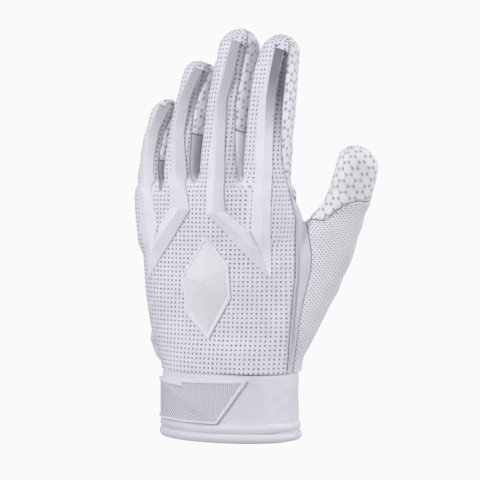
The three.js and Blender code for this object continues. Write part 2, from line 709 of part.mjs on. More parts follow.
// A ring round the wrist with a rounded section, from its lower to its upper level.
function wristRing(low, high, inner, outer, bulge) {
  const sections = Array.from({ length: CUFF_SIDES }, (_, i) => {
    const angle = i / CUFF_SIDES * Math.PI * 2;
    const at = (grow, z) => vec((CUFF_WIDTH / 2 + grow) * Math.cos(angle),
      palmSection(CUFF_HEIGHT).y + (CUFF_DEPTH / 2 + grow) * Math.sin(angle), z);
    const soft = (high - low) * 0.22 * bulge;
    if (bulge === 0) {
      return [at(inner, low), at(outer, low), at(outer, high), at(inner, high)];
    }
    return [
      at(inner, low + soft), at(mix(inner, outer, 0.4), low), at(mix(inner, outer, 0.75), low),
      at(outer, mix(low, high, 0.5)), at(mix(inner, outer, 0.75), high),
      at(mix(inner, outer, 0.4), high), at(inner, high - soft),
    ];
  });
  return solidOf(loop(sections));
}

// The wrist strap: a curved band round the outer side of the cuff, with a slanted free end on the back.
function strapForm() {
  const inner = -CUFF_WALL / 2;
  const outer = GAP + STRAP_THICKNESS;
  const low = HEM_HEIGHT + 2 * GAP;
  const start = Math.PI / 2 + Math.asin(-STRAP_START);
  const topEnd = 1.5 * Math.PI + Math.asin(STRAP_TOP_END);
  const bottomEnd = 1.5 * Math.PI + Math.asin(STRAP_BOTTOM_END);
  const rings = Array.from({ length: STRAP_STEPS + 1 }, (_, i) => {
    const t = i / STRAP_STEPS;
    const at = (angle, grow, z) => vec((CUFF_WIDTH / 2 + grow) * Math.cos(angle),
      palmSection(CUFF_HEIGHT).y + (CUFF_DEPTH / 2 + grow) * Math.sin(angle), z);
    const top = low + STRAP_WIDTH * (1 - STRAP_DROP * (1 - t));
    const upper = mix(start, topEnd, t);
    const lower = mix(start, bottomEnd, t);
    return [at(lower, inner, low), at(lower, outer, low), at(upper, outer, top), at(upper, inner, top)];
  });
  return solidOf(loft(rings)).subtract(wristRing(0, CUFF_HEIGHT, -2 * CUFF_WALL, GAP, 0));
}

// The tab over the outer heel of the hand: a patch that lies on the edge of the palm.
function tabForm() {
  const middle = upToZ(0.095);
  const half = TAB_LENGTH / 2;
  const out = palmSection(middle).y + palmBend(-1);
  const wide = TAB_WIDTH / 2;
  const outline = [
    [out - wide, middle - half * 0.9], [out + wide, middle - half * 0.9], [out + wide, middle + half * 0.3],
    [out + wide * 0.5, middle + half], [out - wide * 0.4, middle + half], [out - wide, middle + half * 0.3],
  ];
  const side = acrossToX(-0.6);
  const ring = (x) => outline.map(([y, z]) => vec(x, y, z));
  const block = solidOf(loft([ring(side), ring(-farSide)]));
  const level = CUFF_HEIGHT + GAP;
  const patch = palmForm(GAP + TAB_THICKNESS, level).subtract(palmForm(GAP, level - PALM_HEIGHT / 20));
  return patch.intersect(block);
}

const group = new THREE.Group();
function piece(name, solid, color, roughness) {
  const geometry = mainBody(solid);
  geometry.computeVertexNormals();
  const mesh = new THREE.Mesh(geometry, new THREE.MeshStandardMaterial({ color, roughness, metalness: 0 }));
  mesh.name = name;
  group.add(mesh);
}

const floorZ = CUFF_HEIGHT + GAP;
const outerForm = handForm(0, floorZ);
const lining = handForm(-WALL, floorZ - PALM_HEIGHT / 20, LINING_FINENESS);
const shell = outerForm.subtract(lining);
const clearForm = handForm(GAP, floorZ - PALM_HEIGHT / 20);

const gussetGaps = GUSSET_ROWS.map((row) => gussetRegion(row, GAP));
const capGap = capRegion(GAP);
const sideGap = sideRegion(GAP);
const backGap = backRegion(GAP);

piece('back_panel', without(shell.intersect(backRegion(0)), [...gussetGaps, capGap]), WHITE, 0.8);
piece('palm_panel', without(shell, [backGap, ...gussetGaps, capGap, sideGap, meshRegion(GAP)]), WHITE, 0.55);
GUSSET_ROWS.forEach((row) => {
  piece(row.name, shell.intersect(gussetRegion(row, 0)), GREY, 0.85);
});
piece('thumb_mesh_panel', without(shell.intersect(meshRegion(0)), [capGap, backGap]), WHITE, 0.85);
piece('thumb_grip_cap', shell.intersect(capRegion(0)), WHITE, 0.55);
piece('side_gusset', without(shell.intersect(sideRegion(0)), [backGap]), GREY, 0.7);

const ridgePair = (rows, others) => ridgeLeg(rows).add(ridgeLeg(others)).subtract(clearForm);
piece('side_piping', pipingForm().subtract(clearForm), WHITE, 0.6);
piece('ridge_middle_index', ridgePair(MIDDLE_RIDGE, INDEX_RIDGE), WHITE, 0.5);
piece('ridge_pinky_ring', ridgePair(PINKY_RIDGE, RING_RIDGE), WHITE, 0.5);
piece('back_pad', padForm().subtract(clearForm), WHITE, 0.45);
piece('heel_tab', tabForm(), GREY, 0.7);

const hemRoll = (low, high, bulge) => wristRing(low, high, bulge - HEM_THICKNESS, bulge, 1);
piece('cuff_band', wristRing(HEM_HEIGHT + GAP, CUFF_HEIGHT, -CUFF_WALL, 0, 0), WHITE, 0.6);
piece('cuff_hem_upper', hemRoll(HEM_HEIGHT / 2 + GAP, HEM_HEIGHT, UPPER_HEM_BULGE), WHITE, 0.6);
piece('cuff_hem_lower', hemRoll(0, HEM_HEIGHT / 2, LOWER_HEM_BULGE), WHITE, 0.6);
piece('wrist_strap', strapForm(), WHITE, 0.55);

export default group;
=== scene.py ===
import math

import bpy
import numpy as np
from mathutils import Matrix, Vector

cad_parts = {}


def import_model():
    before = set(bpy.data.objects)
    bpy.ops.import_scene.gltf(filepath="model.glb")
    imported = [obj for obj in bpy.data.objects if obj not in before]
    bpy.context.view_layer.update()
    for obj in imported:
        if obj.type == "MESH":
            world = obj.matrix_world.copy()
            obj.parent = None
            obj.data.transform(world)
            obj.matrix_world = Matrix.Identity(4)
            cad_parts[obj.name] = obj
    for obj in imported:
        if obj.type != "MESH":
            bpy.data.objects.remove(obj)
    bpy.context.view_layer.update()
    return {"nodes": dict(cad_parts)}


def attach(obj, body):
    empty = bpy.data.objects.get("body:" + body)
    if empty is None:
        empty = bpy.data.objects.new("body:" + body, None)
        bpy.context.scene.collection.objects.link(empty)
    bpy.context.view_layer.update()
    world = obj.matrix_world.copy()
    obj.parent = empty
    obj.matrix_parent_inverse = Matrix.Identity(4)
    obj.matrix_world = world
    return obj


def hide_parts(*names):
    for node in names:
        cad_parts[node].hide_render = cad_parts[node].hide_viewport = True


# Sizes in millimetres, the same names and values as in the part's source
PALM_WIDTH = 97.5
PALM_DEPTH = 40.0
PALM_HEIGHT = 108.0
FINGER_WIDTH = 22.6
FINGER_DEPTH = 24.0
THUMB_LENGTH = 130.0
THUMB_WIDTH = 24.8
THUMB_DEPTH = 21.0
CUFF_WIDTH = 82.0
CUFF_DEPTH = 53.0
CUFF_HEIGHT = 38.0
HEM_HEIGHT = 10.0
WALL = 1.4
RIDGE_HEIGHT = 3.2
RIDGE_EDGE = 0.7
PAD_WIDTH = 30.0
PAD_LENGTH = 58.0
PAD_HEIGHT = 4.2
PAD_EDGE = 1.2
STRAP_WIDTH = 24.5
STRAP_THICKNESS = 2.0
GAP = 0.3
MM = 0.001

# Palm sections: up, across, out, width, back, front, share of the cuff's ellipse
PALM_ROWS = np.array([
    (0.0, -0.02, 0.1, 0.84, 1.25, 1.25, 1),
    (0.185, -0.07, 0.15, 0.935, 1.1, 1.15, 0),
    (0.39, -0.1, 0.15, 0.985, 0.975, 1.0, 0),
    (0.64, -0.135, 0.1, 1.0, 0.85, 0.85, 0),
    (0.85, -0.19, 0.05, 1.0, 0.775, 0.75, 0),
    (0.93, -0.21, 0.05, 0.985, 0.73, 0.68, 0),
])
PALM_CAP = 0.085
PALM_BEND_OUTER = 0.3
PALM_BEND_THUMB = 0.1
PALM_ROUNDNESS = 2.4
LIMB_ROUNDNESS = 2.2
ARC_ROUNDNESS = 2.3
THUMB_BLEND = 9.0
FINGER_BLEND = 5.0
# Grid that the hand's skin is found on
GRID_LOW = (-66, -31, 36.4)
GRID_HIGH = (84, 36, 237)

# Fingers: length; root across, out and up; lean to the thumb and to the palm; roll, width, depth, bow
FINGERS = {
    "index": (111.0, 0.464, 0.0, 0.74, 0.049, 0.109, 0.0, 1.0, 1.0, 0.12),
    "middle": (117.0, -0.098, -0.1, 0.74, 0.057, 0.165, 12.0, 1.04, 1.07, 0.17),
    "ring": (102.5, -0.626, 0.1, 0.72, 0.081, 0.179, 18.0, 0.91, 0.94, 0.19),
    "pinky": (82.5, -1.0, 0.4, 0.685, 0.031, 0.198, 24.0, 0.76, 0.77, 0.15),
}
THUMB_ROW = (THUMB_LENGTH, 0.49, 0.6, 0.065, 0.393, 0.05, -20.0, 1.0, 1.0, -0.19)

# Limb sections: share of the length, width, depth, sideways drift
FINGER_SECTIONS = np.array([
    (0, 1.05, 1.03, 0), (0.35, 1.06, 1.01, -0.03), (0.6, 1.03, 0.99, -0.03), (0.8, 0.98, 0.96, 0),
    (1, 0.91, 0.92, 0),
])
PINKY_SECTIONS = np.array([
    (0, 0.9, 1, 0.1), (0.35, 1.05, 1.02, -0.25), (0.6, 1.03, 1, -0.3), (0.8, 0.97, 0.98, -0.15),
    (1, 0.9, 0.92, 0),
])
THUMB_SECTIONS = np.array([
    (0, 1.4, 1.9, -0.56), (0.2, 1.5, 1.8, -0.28), (0.36, 1.46, 1.5, 0.1), (0.52, 1.24, 1.2, 0.38),
    (0.72, 1, 1, 0.48), (0.85, 0.98, 0.95, 0.4), (1, 0.95, 0.9, 0.12),
])

# Seams: angles round the limbs in degrees, then edges as across and up on the palm
SEAM_THUMB_SIDE = {
    "index": [(0.25, 69), (0.36, 52), (0.49, 44), (0.62, 41), (0.85, 41), (0.92, 46)],
    "middle": [(0.25, 67), (0.33, 64), (0.45, 57), (0.52, 54), (0.61, 50), (0.8, 54), (0.9, 58)],
    "ring": [(0.27, 62), (0.41, 56), (0.52, 52), (0.67, 46), (0.77, 51), (0.87, 64), (0.95, 77)],
    "pinky": [(0.3, 58), (0.56, 60), (0.65, 60), (0.75, 63), (0.86, 75), (0.96, 80)],
}
SEAM_OUTER_SIDE = 76.0
SEAM_PALM_SIDE = 126.0
PALM_SEAM = 0.35
THUMB_CAP_EDGE = [(0.93, 0.795), (1.11, 0.79), (1.23, 0.837), (1.34, 0.87), (1.46, 0.89), (1.6, 0.887),
                  (1.72, 0.85), (1.9, 0.84)]
# Left and right edges of the side gusset, seen square on: across and up in mm
BACK_EDGE = [(32.8, 30.0), (32.8, 37.9), (34.5, 60.7), (36.8, 83.5), (37.7, 92.0), (37.9, 103.5),
             (37.4, 112.0), (36.1, 126.3), (34.3, 140.5), (33.9, 150.0)]
GUSSET_EDGE = [(36.2, 37.9), (37.6, 52.2), (39.3, 66.4), (41.6, 77.8), (43.9, 86.4), (46.0, 94.9),
               (46.4, 105.2), (45.2, 113.0), (43.8, 122.3), (42.2, 127.4), (38.6, 133.1), (34.6, 141.1),
               (33.5, 144.0)]
PIPING_TOP = 0.97

# Finger gussets: lower finger, upper finger, height of the top edge, fall of it toward the thumb
GUSSETS = {
    "gusset_pinky_ring": ("pinky", "ring", 156.0, 0.35),
    "gusset_ring_middle": ("ring", "middle", 171.5, 0.4),
    "gusset_middle_index": ("middle", "index", 173.0, 0.4),
}
# How dark the painted shade on each gusset is
GUSSET_PAINTED_SHADE = {"gusset_pinky_ring": 0.62, "gusset_ring_middle": 0.42, "gusset_middle_index": 0.0}

# Right edge of the raised cloth beside each ridge: along, then share of the half width
FLANK_EDGE = {
    "index": [(0.48, 0.77), (0.66, 0.72), (0.77, 0.7), (0.9, 0.74)],
    "middle": [(0.45, 0.68), (0.62, 0.61), (0.74, 0.79), (0.9, 0.87)],
    "ring": [(0.54, 0.61), (0.74, 0.73), (0.92, 0.93)],
    "pinky": [(0.4, 0.62), (0.74, 0.74), (0.94, 0.89)],
}
# How dark the painted shade on that raised cloth is
FLANK_PAINTED_SHADE = {"index": 1.15, "middle": 0.2, "ring": 0.45, "pinky": 0.55}
# Where the fingers begin on the back: across and height in mm
GUSSET_FOOT = [(-38.0, 140.5), (-17.0, 145.0), (10.0, 145.6)]
# Lower ends of the finger gussets, seen square on: across at the foot and 14 mm up, foot height, half width
TONGUES = [(6.5, 7.0, 145.4, 2.9), (-19.6, -19.2, 145.0, 2.6), (-39.3, -38.2, 140.3, 1.5)]
TONGUE_TALL = 12.0

# Ridge rails on the fingers: along, then left, peak and right as shares of the half width
RIDGE_ON_FINGER = {
    "index": [(0.904, 0.03, 0.13, 0.49), (0.765, -0.28, 0.02, 0.35), (0.648, -0.4, -0.02, 0.32),
              (0.476, -0.4, 0.04, 0.36), (0.248, -0.34, 0.12, 0.45)],
    "middle": [(0.9, 0.22, 0.33, 0.62), (0.727, 0.03, 0.23, 0.59), (0.612, -0.06, 0.15, 0.46),
               (0.447, -0.04, 0.22, 0.55), (0.226, 0.02, 0.33, 0.66)],
    "ring": [(0.912, 0.34, 0.46, 0.74), (0.73, -0.22, 0.07, 0.51), (0.537, -0.15, 0.11, 0.49),
             (0.274, 0.04, 0.45, 0.84)],
    "pinky": [(0.925, 0.15, 0.46, 0.88), (0.745, -0.19, 0.22, 0.69), (0.563, -0.24, 0.17, 0.68),
              (0.45, -0.245, 0.24, 0.71)],
}
# Ridge rails on the palm: left, peak and right, each across and up
RIDGE_ON_PALM = {
    "index": [(0.381, 0.847, 0.518, 0.847, 0.593, 0.847), (0.377, 0.736, 0.51, 0.736, 0.59, 0.736),
              (0.49, 0.625, 0.493, 0.623, 0.59, 0.612), (0.587, 0.496, 0.59, 0.494, 0.593, 0.494)],
    "middle": [(-0.153, 0.923, -0.057, 0.921, 0.05, 0.923), (-0.14, 0.825, -0.052, 0.835, 0.067, 0.838),
               (0.222, 0.661, 0.29, 0.704, 0.365, 0.736), (0.398, 0.581, 0.493, 0.623, 0.497, 0.625),
               (0.577, 0.5, 0.59, 0.494, 0.592, 0.494)],
    "pinky": [(-1.105, 0.895, -0.991, 0.894, -0.886, 0.896), (-1.082, 0.762, -0.962, 0.765, -0.82, 0.755),
              (-0.998, 0.587, -0.892, 0.606, -0.888, 0.607), (-0.955, 0.49, -0.949, 0.492, -0.945, 0.492)],
    "ring": [(-0.636, 0.922, -0.523, 0.921, -0.408, 0.923), (-0.612, 0.86, -0.484, 0.849, -0.37, 0.843),
             (-0.764, 0.77, -0.681, 0.735, -0.586, 0.698), (-0.896, 0.607, -0.892, 0.606, -0.798, 0.573),
             (-0.953, 0.492, -0.949, 0.492, -0.935, 0.49)],
}
# How tall each ridge stands, how low it ends on the palm, and how dark the painted shade on its shaded side
# gets at the tip
RIDGE_FORM = {"index": (1.0, 0.3, 0.85), "middle": (1.0, 0.3, 0.42), "ring": (0.95, 0.3, 0.5),
              "pinky": (0.6, 0.3, 0.5)}
PAD_ACROSS = -0.16
PAD_UP = 0.445
PAD_OUTLINE = [(0, 1), (0.9, 0.42), (1, -0.2), (0.2, -1), (-0.75, -0.5), (-1, 0.2)]
PAD_PEAK = (-0.05, 0.12)
STRAP_TOP_END = 0.45
STRAP_BOTTOM_END = 0.04
STRAP_START = -0.2
STRAP_DROP = 0.14

# Looks, in millimetres
STEP = 0.95
SHELL = 1.2
SEAM_GAP = 0.13
SEAM_DEPTH = 0.55
SEAM_WIDTH = 0.95
FLANK_LIFT = 2.4
CAP_LIFT = 0.9
CAMERA_TURN = 20.0
RIDGE_TAPER = 22.0
RIDGE_SLANT = 0.3
RIDGE_ROOT = 0.9
PAD_FACE = 0.88
SEAM_REACH = 6.0
# Radii that turn an angle round the wrist into mm of cloth
WRIST_RADIUS = 33.0
STRAP_RADIUS = 38.0
# Angle of the middle of the back, round the wrist
BACK_TURN = 1.5 * math.pi
# Hem rolls: middle height, half height, reach, rise at the thumb edge, seed
HEMS = [("cuff_hem_upper", 7.6, 2.6, 1.75, 0.5, 31), ("cuff_hem_lower", 2.7, 2.75, 2.3, -0.1, 37)]
STITCH_LENGTH = 1.7
STITCH_PITCH = 2.9
STITCH_RADIUS = 0.24


def mix(a, b, t):
    return a + (b - a) * t


def unit(vectors):
    return vectors / np.linalg.norm(vectors, axis=1)[:, None]


def columns(*arrays):
    return np.stack(arrays, axis=1)


def flat_grid(rows, across):
    """Both places of every point of a grid, row by row."""
    return (places.ravel() for places in np.meshgrid(rows, across, indexing="ij"))


def circle(count):
    """Angles evenly spaced round a full turn."""
    return np.linspace(0, 2 * math.pi, count, endpoint=False)


def smooth_step(low, high, value):
    t = np.clip((value - low) / (high - low), 0, 1)
    return t * t * (3 - 2 * t)


def smooth_min(a, b, k):
    h = np.clip(0.5 + 0.5 * (b - a) / k, 0, 1)
    return mix(b, a, h) - k * h * (1 - h)


def path_length(path):
    """How far along a path each of its points is."""
    return np.concatenate([[0], np.cumsum(np.linalg.norm(np.diff(path, axis=0), axis=1))])


def table(rows, at):
    """Value at a place from rows of (place, value)."""
    return np.interp(at, [r[0] for r in rows], [r[1] for r in rows])


def up_to_z(up):
    return CUFF_HEIGHT + up * PALM_HEIGHT


def edge_across(rows, z):
    """Across position in mm of a seam edge at height z."""
    return np.interp(z, [r[1] for r in rows], [r[0] for r in rows])


def cap_line(x):
    """Height of the thumb cap's lower edge."""
    return np.interp(x, [across * PALM_WIDTH / 2 for across, _ in THUMB_CAP_EDGE],
                     [up_to_z(up) for _, up in THUMB_CAP_EDGE])


def seen_across(points):
    """Place across in mm as seen square on to the back of the glove."""
    turn = math.radians(CAMERA_TURN)
    return points[:, 0] * math.cos(turn) + points[:, 1] * math.sin(turn)


# Form of the hand: a field in mm that is negative inside


class Limb:
    """A finger or the thumb: a bowed, tapered tube with a round tip."""

    def __init__(self, row, sections, width, depth):
        length, across, out, up, lean_x, lean_y, roll, wide, deep, bow = row
        self.length = length
        self.root = np.array([across * PALM_WIDTH / 2, out * PALM_DEPTH / 2, up_to_z(up)])
        self.along = np.array([lean_x, lean_y, 1.0])
        self.along /= np.linalg.norm(self.along)
        turn = math.radians(roll)
        grip = np.array([math.sin(turn), math.cos(turn), 0.0])
        grip -= self.along * grip.dot(self.along)
        self.grip = grip / np.linalg.norm(grip)
        side = np.cross(self.along, self.grip)
        self.side = side if side[0] > 0 else -side
        self.half_width = wide * width / 2
        self.half_depth = deep * depth / 2
        self.bow = bow * depth
        self.sections = sections
        self.tip = min(self.half_width * sections[-1, 1], self.half_depth * sections[-1, 2])

    def section(self, share):
        """Half width, half depth and sideways drift at a share of the length."""
        at = np.clip(share, 0, 1)
        wide, deep, drift = (np.interp(at, self.sections[:, 0], self.sections[:, i]) for i in (1, 2, 3))
        return self.half_width * wide, self.half_depth * deep, self.half_width * drift

    def local(self, points):
        """Share of the length, and the sideways and palmward places from the middle line."""
        away = points - self.root
        share = away @ self.along / self.length
        at = np.clip(share, 0, 1)
        drift = self.section(at)[2]
        return share, away @ self.side - drift, away @ self.grip + self.bow * 4 * at * (1 - at)

    def field(self, points):
        share, side, grip = self.local(points)
        wide, deep, _ = self.section(share)
        power = LIMB_ROUNDNESS
        ring = (np.abs(side / wide) ** power + np.abs(grip / deep) ** power) ** (2 / power)
        rise = np.maximum(0, ((share - 1) * self.length + self.tip) / self.tip)
        fall = np.maximum(0, -share * self.length / self.tip)
        return (np.sqrt(ring + rise ** 2 + fall ** 2) - 1) * np.minimum(wide, deep)

    def angle(self, points):
        """Degrees round the limb from the middle of the back, positive toward the thumb."""
        share, side, grip = self.local(points)
        wide, deep, _ = self.section(share)
        return np.degrees(np.arctan2(side / wide, -grip / deep))

    def point(self, share, side):
        """A point on the back of the limb, side given as a share of the half width."""
        wide, deep, drift = self.section(share)
        depth = -deep * (1 - min(0.98, abs(side)) ** LIMB_ROUNDNESS) ** (1 / LIMB_ROUNDNESS)
        bow = self.bow * 4 * share * (1 - share)
        return (self.root + self.along * self.length * share + self.side * (side * wide + drift)
                + self.grip * (depth - bow))


LIMBS = {}
for _name, _row in FINGERS.items():
    _sections = PINKY_SECTIONS if _name == "pinky" else FINGER_SECTIONS
    LIMBS[_name] = Limb(_row, _sections, FINGER_WIDTH, FINGER_DEPTH)
LIMBS["thumb"] = Limb(THUMB_ROW, THUMB_SECTIONS, THUMB_WIDTH, THUMB_DEPTH)
FINGER_NAMES = list(FINGERS)


def palm_section(z):
    """Middle x and y, half width, and depths to the back and to the front at height z."""
    up = np.clip((z - CUFF_HEIGHT) / PALM_HEIGHT, 0, PALM_ROWS[-1, 0])
    across, out, width, back, front, cuff = (np.interp(up, PALM_ROWS[:, 0], PALM_ROWS[:, i])
                                             for i in range(1, 7))
    half = mix(width * PALM_WIDTH / 2, CUFF_WIDTH / 2, cuff)
    to_back = mix(back * PALM_DEPTH / 2, CUFF_DEPTH / 2 - WALL, cuff)
    to_front = mix(front * PALM_DEPTH / 2, CUFF_DEPTH / 2 - WALL, cuff)
    return across * PALM_WIDTH / 2, out * PALM_DEPTH / 2, half, to_back, to_front


def palm_back(x, z):
    """The point of the palm's back at an across position and height."""
    middle, y, half, to_back, _ = palm_section(z)
    side = np.clip((x - middle) / half, -0.985, 0.985)
    bend = (PALM_BEND_OUTER if side < 0 else PALM_BEND_THUMB) * PALM_DEPTH / 2 * side ** 2
    return np.array([middle + side * half,
                     y + bend - to_back * (1 - abs(side) ** PALM_ROUNDNESS) ** (1 / PALM_ROUNDNESS), z])


def palm_local(points):
    """Sideways and palmward places as shares of the palm's section there."""
    x, y, half, to_back, to_front = palm_section(points[:, 2])
    side = (points[:, 0] - x) / half
    bend = np.where(side < 0, PALM_BEND_OUTER, PALM_BEND_THUMB) * PALM_DEPTH / 2 * side ** 2
    out = points[:, 1] - y - bend
    return side, out / np.where(out < 0, to_back, to_front), half, to_back


def palm_field(points):
    side, out, _, to_back = palm_local(points)
    power = PALM_ROUNDNESS
    ring = (np.abs(side) ** power + np.abs(out) ** power) ** (2 / power)
    top = up_to_z(PALM_ROWS[-1, 0])
    rise = np.maximum(0, (points[:, 2] - top) / (PALM_CAP * PALM_HEIGHT))
    return (np.sqrt(ring + rise ** 2) - 1) * to_back


def hand_fields(points):
    fields = {name: limb.field(points) for name, limb in LIMBS.items()}
    fields["palm"] = palm_field(points)
    return fields


def hand_field(points):
    fields = hand_fields(points)
    fingers = np.minimum.reduce([fields[name] for name in FINGER_NAMES])
    return smooth_min(smooth_min(fields["palm"], fields["thumb"], THUMB_BLEND), fingers, FINGER_BLEND)


def nearest_finger(points):
    return np.argmin([LIMBS[name].field(points) for name in FINGER_NAMES], axis=0)


def hand_slope(points, reach=0.15):
    slope = np.empty_like(points)
    for axis in range(3):
        step = np.zeros(3)
        step[axis] = reach
        slope[:, axis] = (hand_field(points + step) - hand_field(points - step)) / (2 * reach)
    return slope


def settle(points, turns=4):
    """Moves points onto the hand's skin and returns them with the outward normals."""
    points = points.copy()
    slope = hand_slope(points)
    for _ in range(turns):
        size = np.maximum(np.einsum("ij,ij->i", slope, slope), 1e-3)
        push = np.clip(hand_field(points) / size, -1.5, 1.5)
        points -= slope * push[:, None]
        slope = hand_slope(points)
    return points, unit(slope)


def surface_net(low, high, step):
    """Points and four-sided faces of the hand's skin on a regular grid of cells."""
    axes = [np.arange(a, b + step, step) for a, b in zip(low, high)]
    grid = np.empty([len(a) for a in axes])
    y, z = flat_grid(*axes[1:])
    for i, x in enumerate(axes[0]):
        grid[i] = hand_field(columns(np.full(len(y), x), y, z)).reshape(grid.shape[1:])
    inside = grid < 0
    cells = np.array(grid.shape) - 1
    corners = np.array(list(np.ndindex(2, 2, 2)))
    filled = np.zeros(cells, int)
    for corner in corners:
        filled += inside[tuple(slice(c, c + n) for c, n in zip(corner, cells))]
    where = np.argwhere((filled > 0) & (filled < 8))
    number = -np.ones(cells, int)
    number[tuple(where.T)] = np.arange(len(where))
    total, count = np.zeros((len(where), 3)), np.zeros(len(where))
    for axis, way in enumerate(np.eye(3, dtype=int)):
        for corner in corners[corners[:, axis] == 0]:
            start = where + corner
            a, b = grid[tuple(start.T)], grid[tuple((start + way).T)]
            cross = (a < 0) != (b < 0)
            share = np.where(cross, a / np.where(cross, a - b, 1), 0)
            total += (start + share[:, None] * way) * cross[:, None]
            count += cross
    points = total / count[:, None] * step + [a[0] for a in axes]

    faces = []
    for axis in range(3):
        one, two = (axis + 1) % 3, (axis + 2) % 3
        edges = np.argwhere(np.diff(inside, axis=axis))
        for k in (one, two):
            edges = edges[(edges[:, k] > 0) & (edges[:, k] < cells[k])]
        ring = []
        for da, db in ((1, 1), (0, 1), (0, 0), (1, 0)):
            at = edges.copy()
            at[:, one] -= da
            at[:, two] -= db
            ring.append(number[tuple(at.T)])
        quads = columns(*ring)
        turned = ~inside[tuple(edges.T)]
        quads[turned] = quads[turned][:, ::-1]
        faces.append(quads)
    return points, np.concatenate(faces)


def halves(points, quads):
    """Each four-sided face cut along its shorter diagonal."""
    one = np.linalg.norm(points[quads[:, 0]] - points[quads[:, 2]], axis=1)
    two = np.linalg.norm(points[quads[:, 1]] - points[quads[:, 3]], axis=1)
    short = one <= two
    a = np.where(short[:, None], quads[:, [0, 1, 2]], quads[:, [0, 1, 3]])
    b = np.where(short[:, None], quads[:, [0, 2, 3]], quads[:, [1, 2, 3]])
    return np.concatenate([a, b])


# Skin: one pool of points with named values, cut along lines where a value is zero


class Skin:
    def __init__(self, values):
        self.values = values

    def split(self, faces, name, level=0.0):
        """Cuts the faces where a value is at the level. Returns those above it and those below it."""
        value = self.values[name] - level
        above = value[faces] > 0
        count = above.sum(axis=1)
        upper = [faces[count == 3]]
        lower = [faces[count == 0]]
        jobs = []
        for number, wanted in ((1, True), (2, False)):
            chosen = faces[count == number]
            lone = np.argmax(above[count == number] == wanted, axis=1)
            index = (lone[:, None] + np.arange(3)) % 3
            jobs.append(np.take_along_axis(chosen, index, axis=1))
        edges = np.concatenate([np.concatenate([j[:, [0, 1]], j[:, [0, 2]]]) for j in jobs])
        if len(edges):
            ordered = np.sort(edges, axis=1)
            unique, place = np.unique(ordered, axis=0, return_inverse=True)
            place = place.ravel()
            a, b = unique.T
            share = np.clip(value[a] / (value[a] - value[b]), 0.0, 1.0)
            size = len(value)
            for key, array in self.values.items():
                weight = share if array.ndim == 1 else share[:, None]
                self.values[key] = np.concatenate([array, mix(array[a], array[b], weight)])
            place += size
            at = 0
            for job, (alone, rest) in zip(jobs, ((upper, lower), (lower, upper))):
                n = len(job)
                p, q = place[at:at + n], place[at + n:at + 2 * n]
                at += 2 * n
                alone.append(columns(job[:, 0], p, q))
                rest += [columns(p, job[:, 1], job[:, 2]), columns(p, job[:, 2], q)]
        return np.concatenate(upper), np.concatenate(lower)

    def take(self, faces, name):
        """Faces well above a seam and faces well below it, with a thin gap left between them."""
        inner, rest = self.split(faces, name, SEAM_GAP)
        _, outer = self.split(rest, name, -SEAM_GAP)
        return inner, outer


def skin_values(points, normals):
    """Every value that cuts or shapes the panels, in mm from the seam it stands for."""
    x, y, z = points.T
    near = nearest_finger(points)
    seen = seen_across(points)
    foot = table(GUSSET_FOOT, x)
    angle, per_degree, along = round_finger(points, near)

    back_on_palm = np.minimum(edge_across(BACK_EDGE, z) - seen, PALM_SEAM * PALM_DEPTH / 2 - y)
    back_on_palm = np.clip(np.minimum(back_on_palm, beside_tongues(points)), -SEAM_REACH, SEAM_REACH)
    wedge = np.full(len(points), SEAM_OUTER_SIDE)
    for k, name in enumerate(FINGER_NAMES):
        mine = (near == k) & (angle > 0)
        wedge[mine] = table(SEAM_THUMB_SIDE[name], along[mine])
    back_on_finger = np.clip((wedge - np.abs(angle)) * per_degree, -SEAM_REACH, SEAM_REACH)
    index, pinky = (near == FINGER_NAMES.index(name) for name in ("index", "pinky"))
    outer_side = np.where(index, angle > 0, pinky & (angle < -30))
    share = np.where(outer_side, smooth_step(138, 154, z), smooth_step(foot + 6, foot + 14, z))

    values = {"point": points, "normal": normals, "back": mix(back_on_palm, back_on_finger, share)}
    values |= thumb_values(points, seen)
    palmar = mix(-3.0, (SEAM_PALM_SIDE - np.abs(angle)) * per_degree, smooth_step(foot - 12, foot - 4, z))
    for name, (low, high, top, fall) in GUSSETS.items():
        level = top - fall * (x - (LIMBS[low].root[0] + LIMBS[high].root[0]) / 2) - z
        between = np.minimum(LIMBS[low].local(points)[1], -LIMBS[high].local(points)[1])
        values[name] = np.minimum(np.minimum(between, palmar), level)
    values["bottom"] = z - (CUFF_HEIGHT + 0.4 + 0.25 * np.sin((x + 10) / 14))
    return values | ridge_values(points, near)


def round_finger(points, near):
    """Degrees round the nearest finger, mm to a degree there, and the share of its length."""
    angle, per_degree, along = np.zeros((3, len(points)))
    for k, name in enumerate(FINGER_NAMES):
        limb = LIMBS[name]
        mine = near == k
        angle[mine] = limb.angle(points[mine])
        per_degree[mine] = math.radians((limb.half_width + limb.half_depth) / 2)
        along[mine] = limb.local(points[mine])[0]
    return angle, per_degree, along


def thumb_values(points, seen):
    """The seams of the side gusset, the thumb cap and the thumb mesh."""
    x, y, z = points.T
    fields = hand_fields(points)
    others = np.minimum.reduce([field for name, field in fields.items() if name != "thumb"])
    share, _, grip = LIMBS["thumb"].local(points)
    front = PALM_SEAM * PALM_DEPTH / 2 + 3 - y
    right = edge_across(GUSSET_EDGE, z) - seen
    left = seen - edge_across(BACK_EDGE, z)
    behind = 0.1 * LIMBS["thumb"].section(share)[1] - grip
    return {
        "leaf": np.minimum(np.minimum(right, left), np.minimum(front, up_to_z(0.955) - z)),
        "cap": np.minimum(z - cap_line(x), np.maximum(others - fields["thumb"], -SEAM_REACH) + 0.5),
        "mesh": np.minimum(np.minimum(-right, behind), cap_line(x) - z),
    }


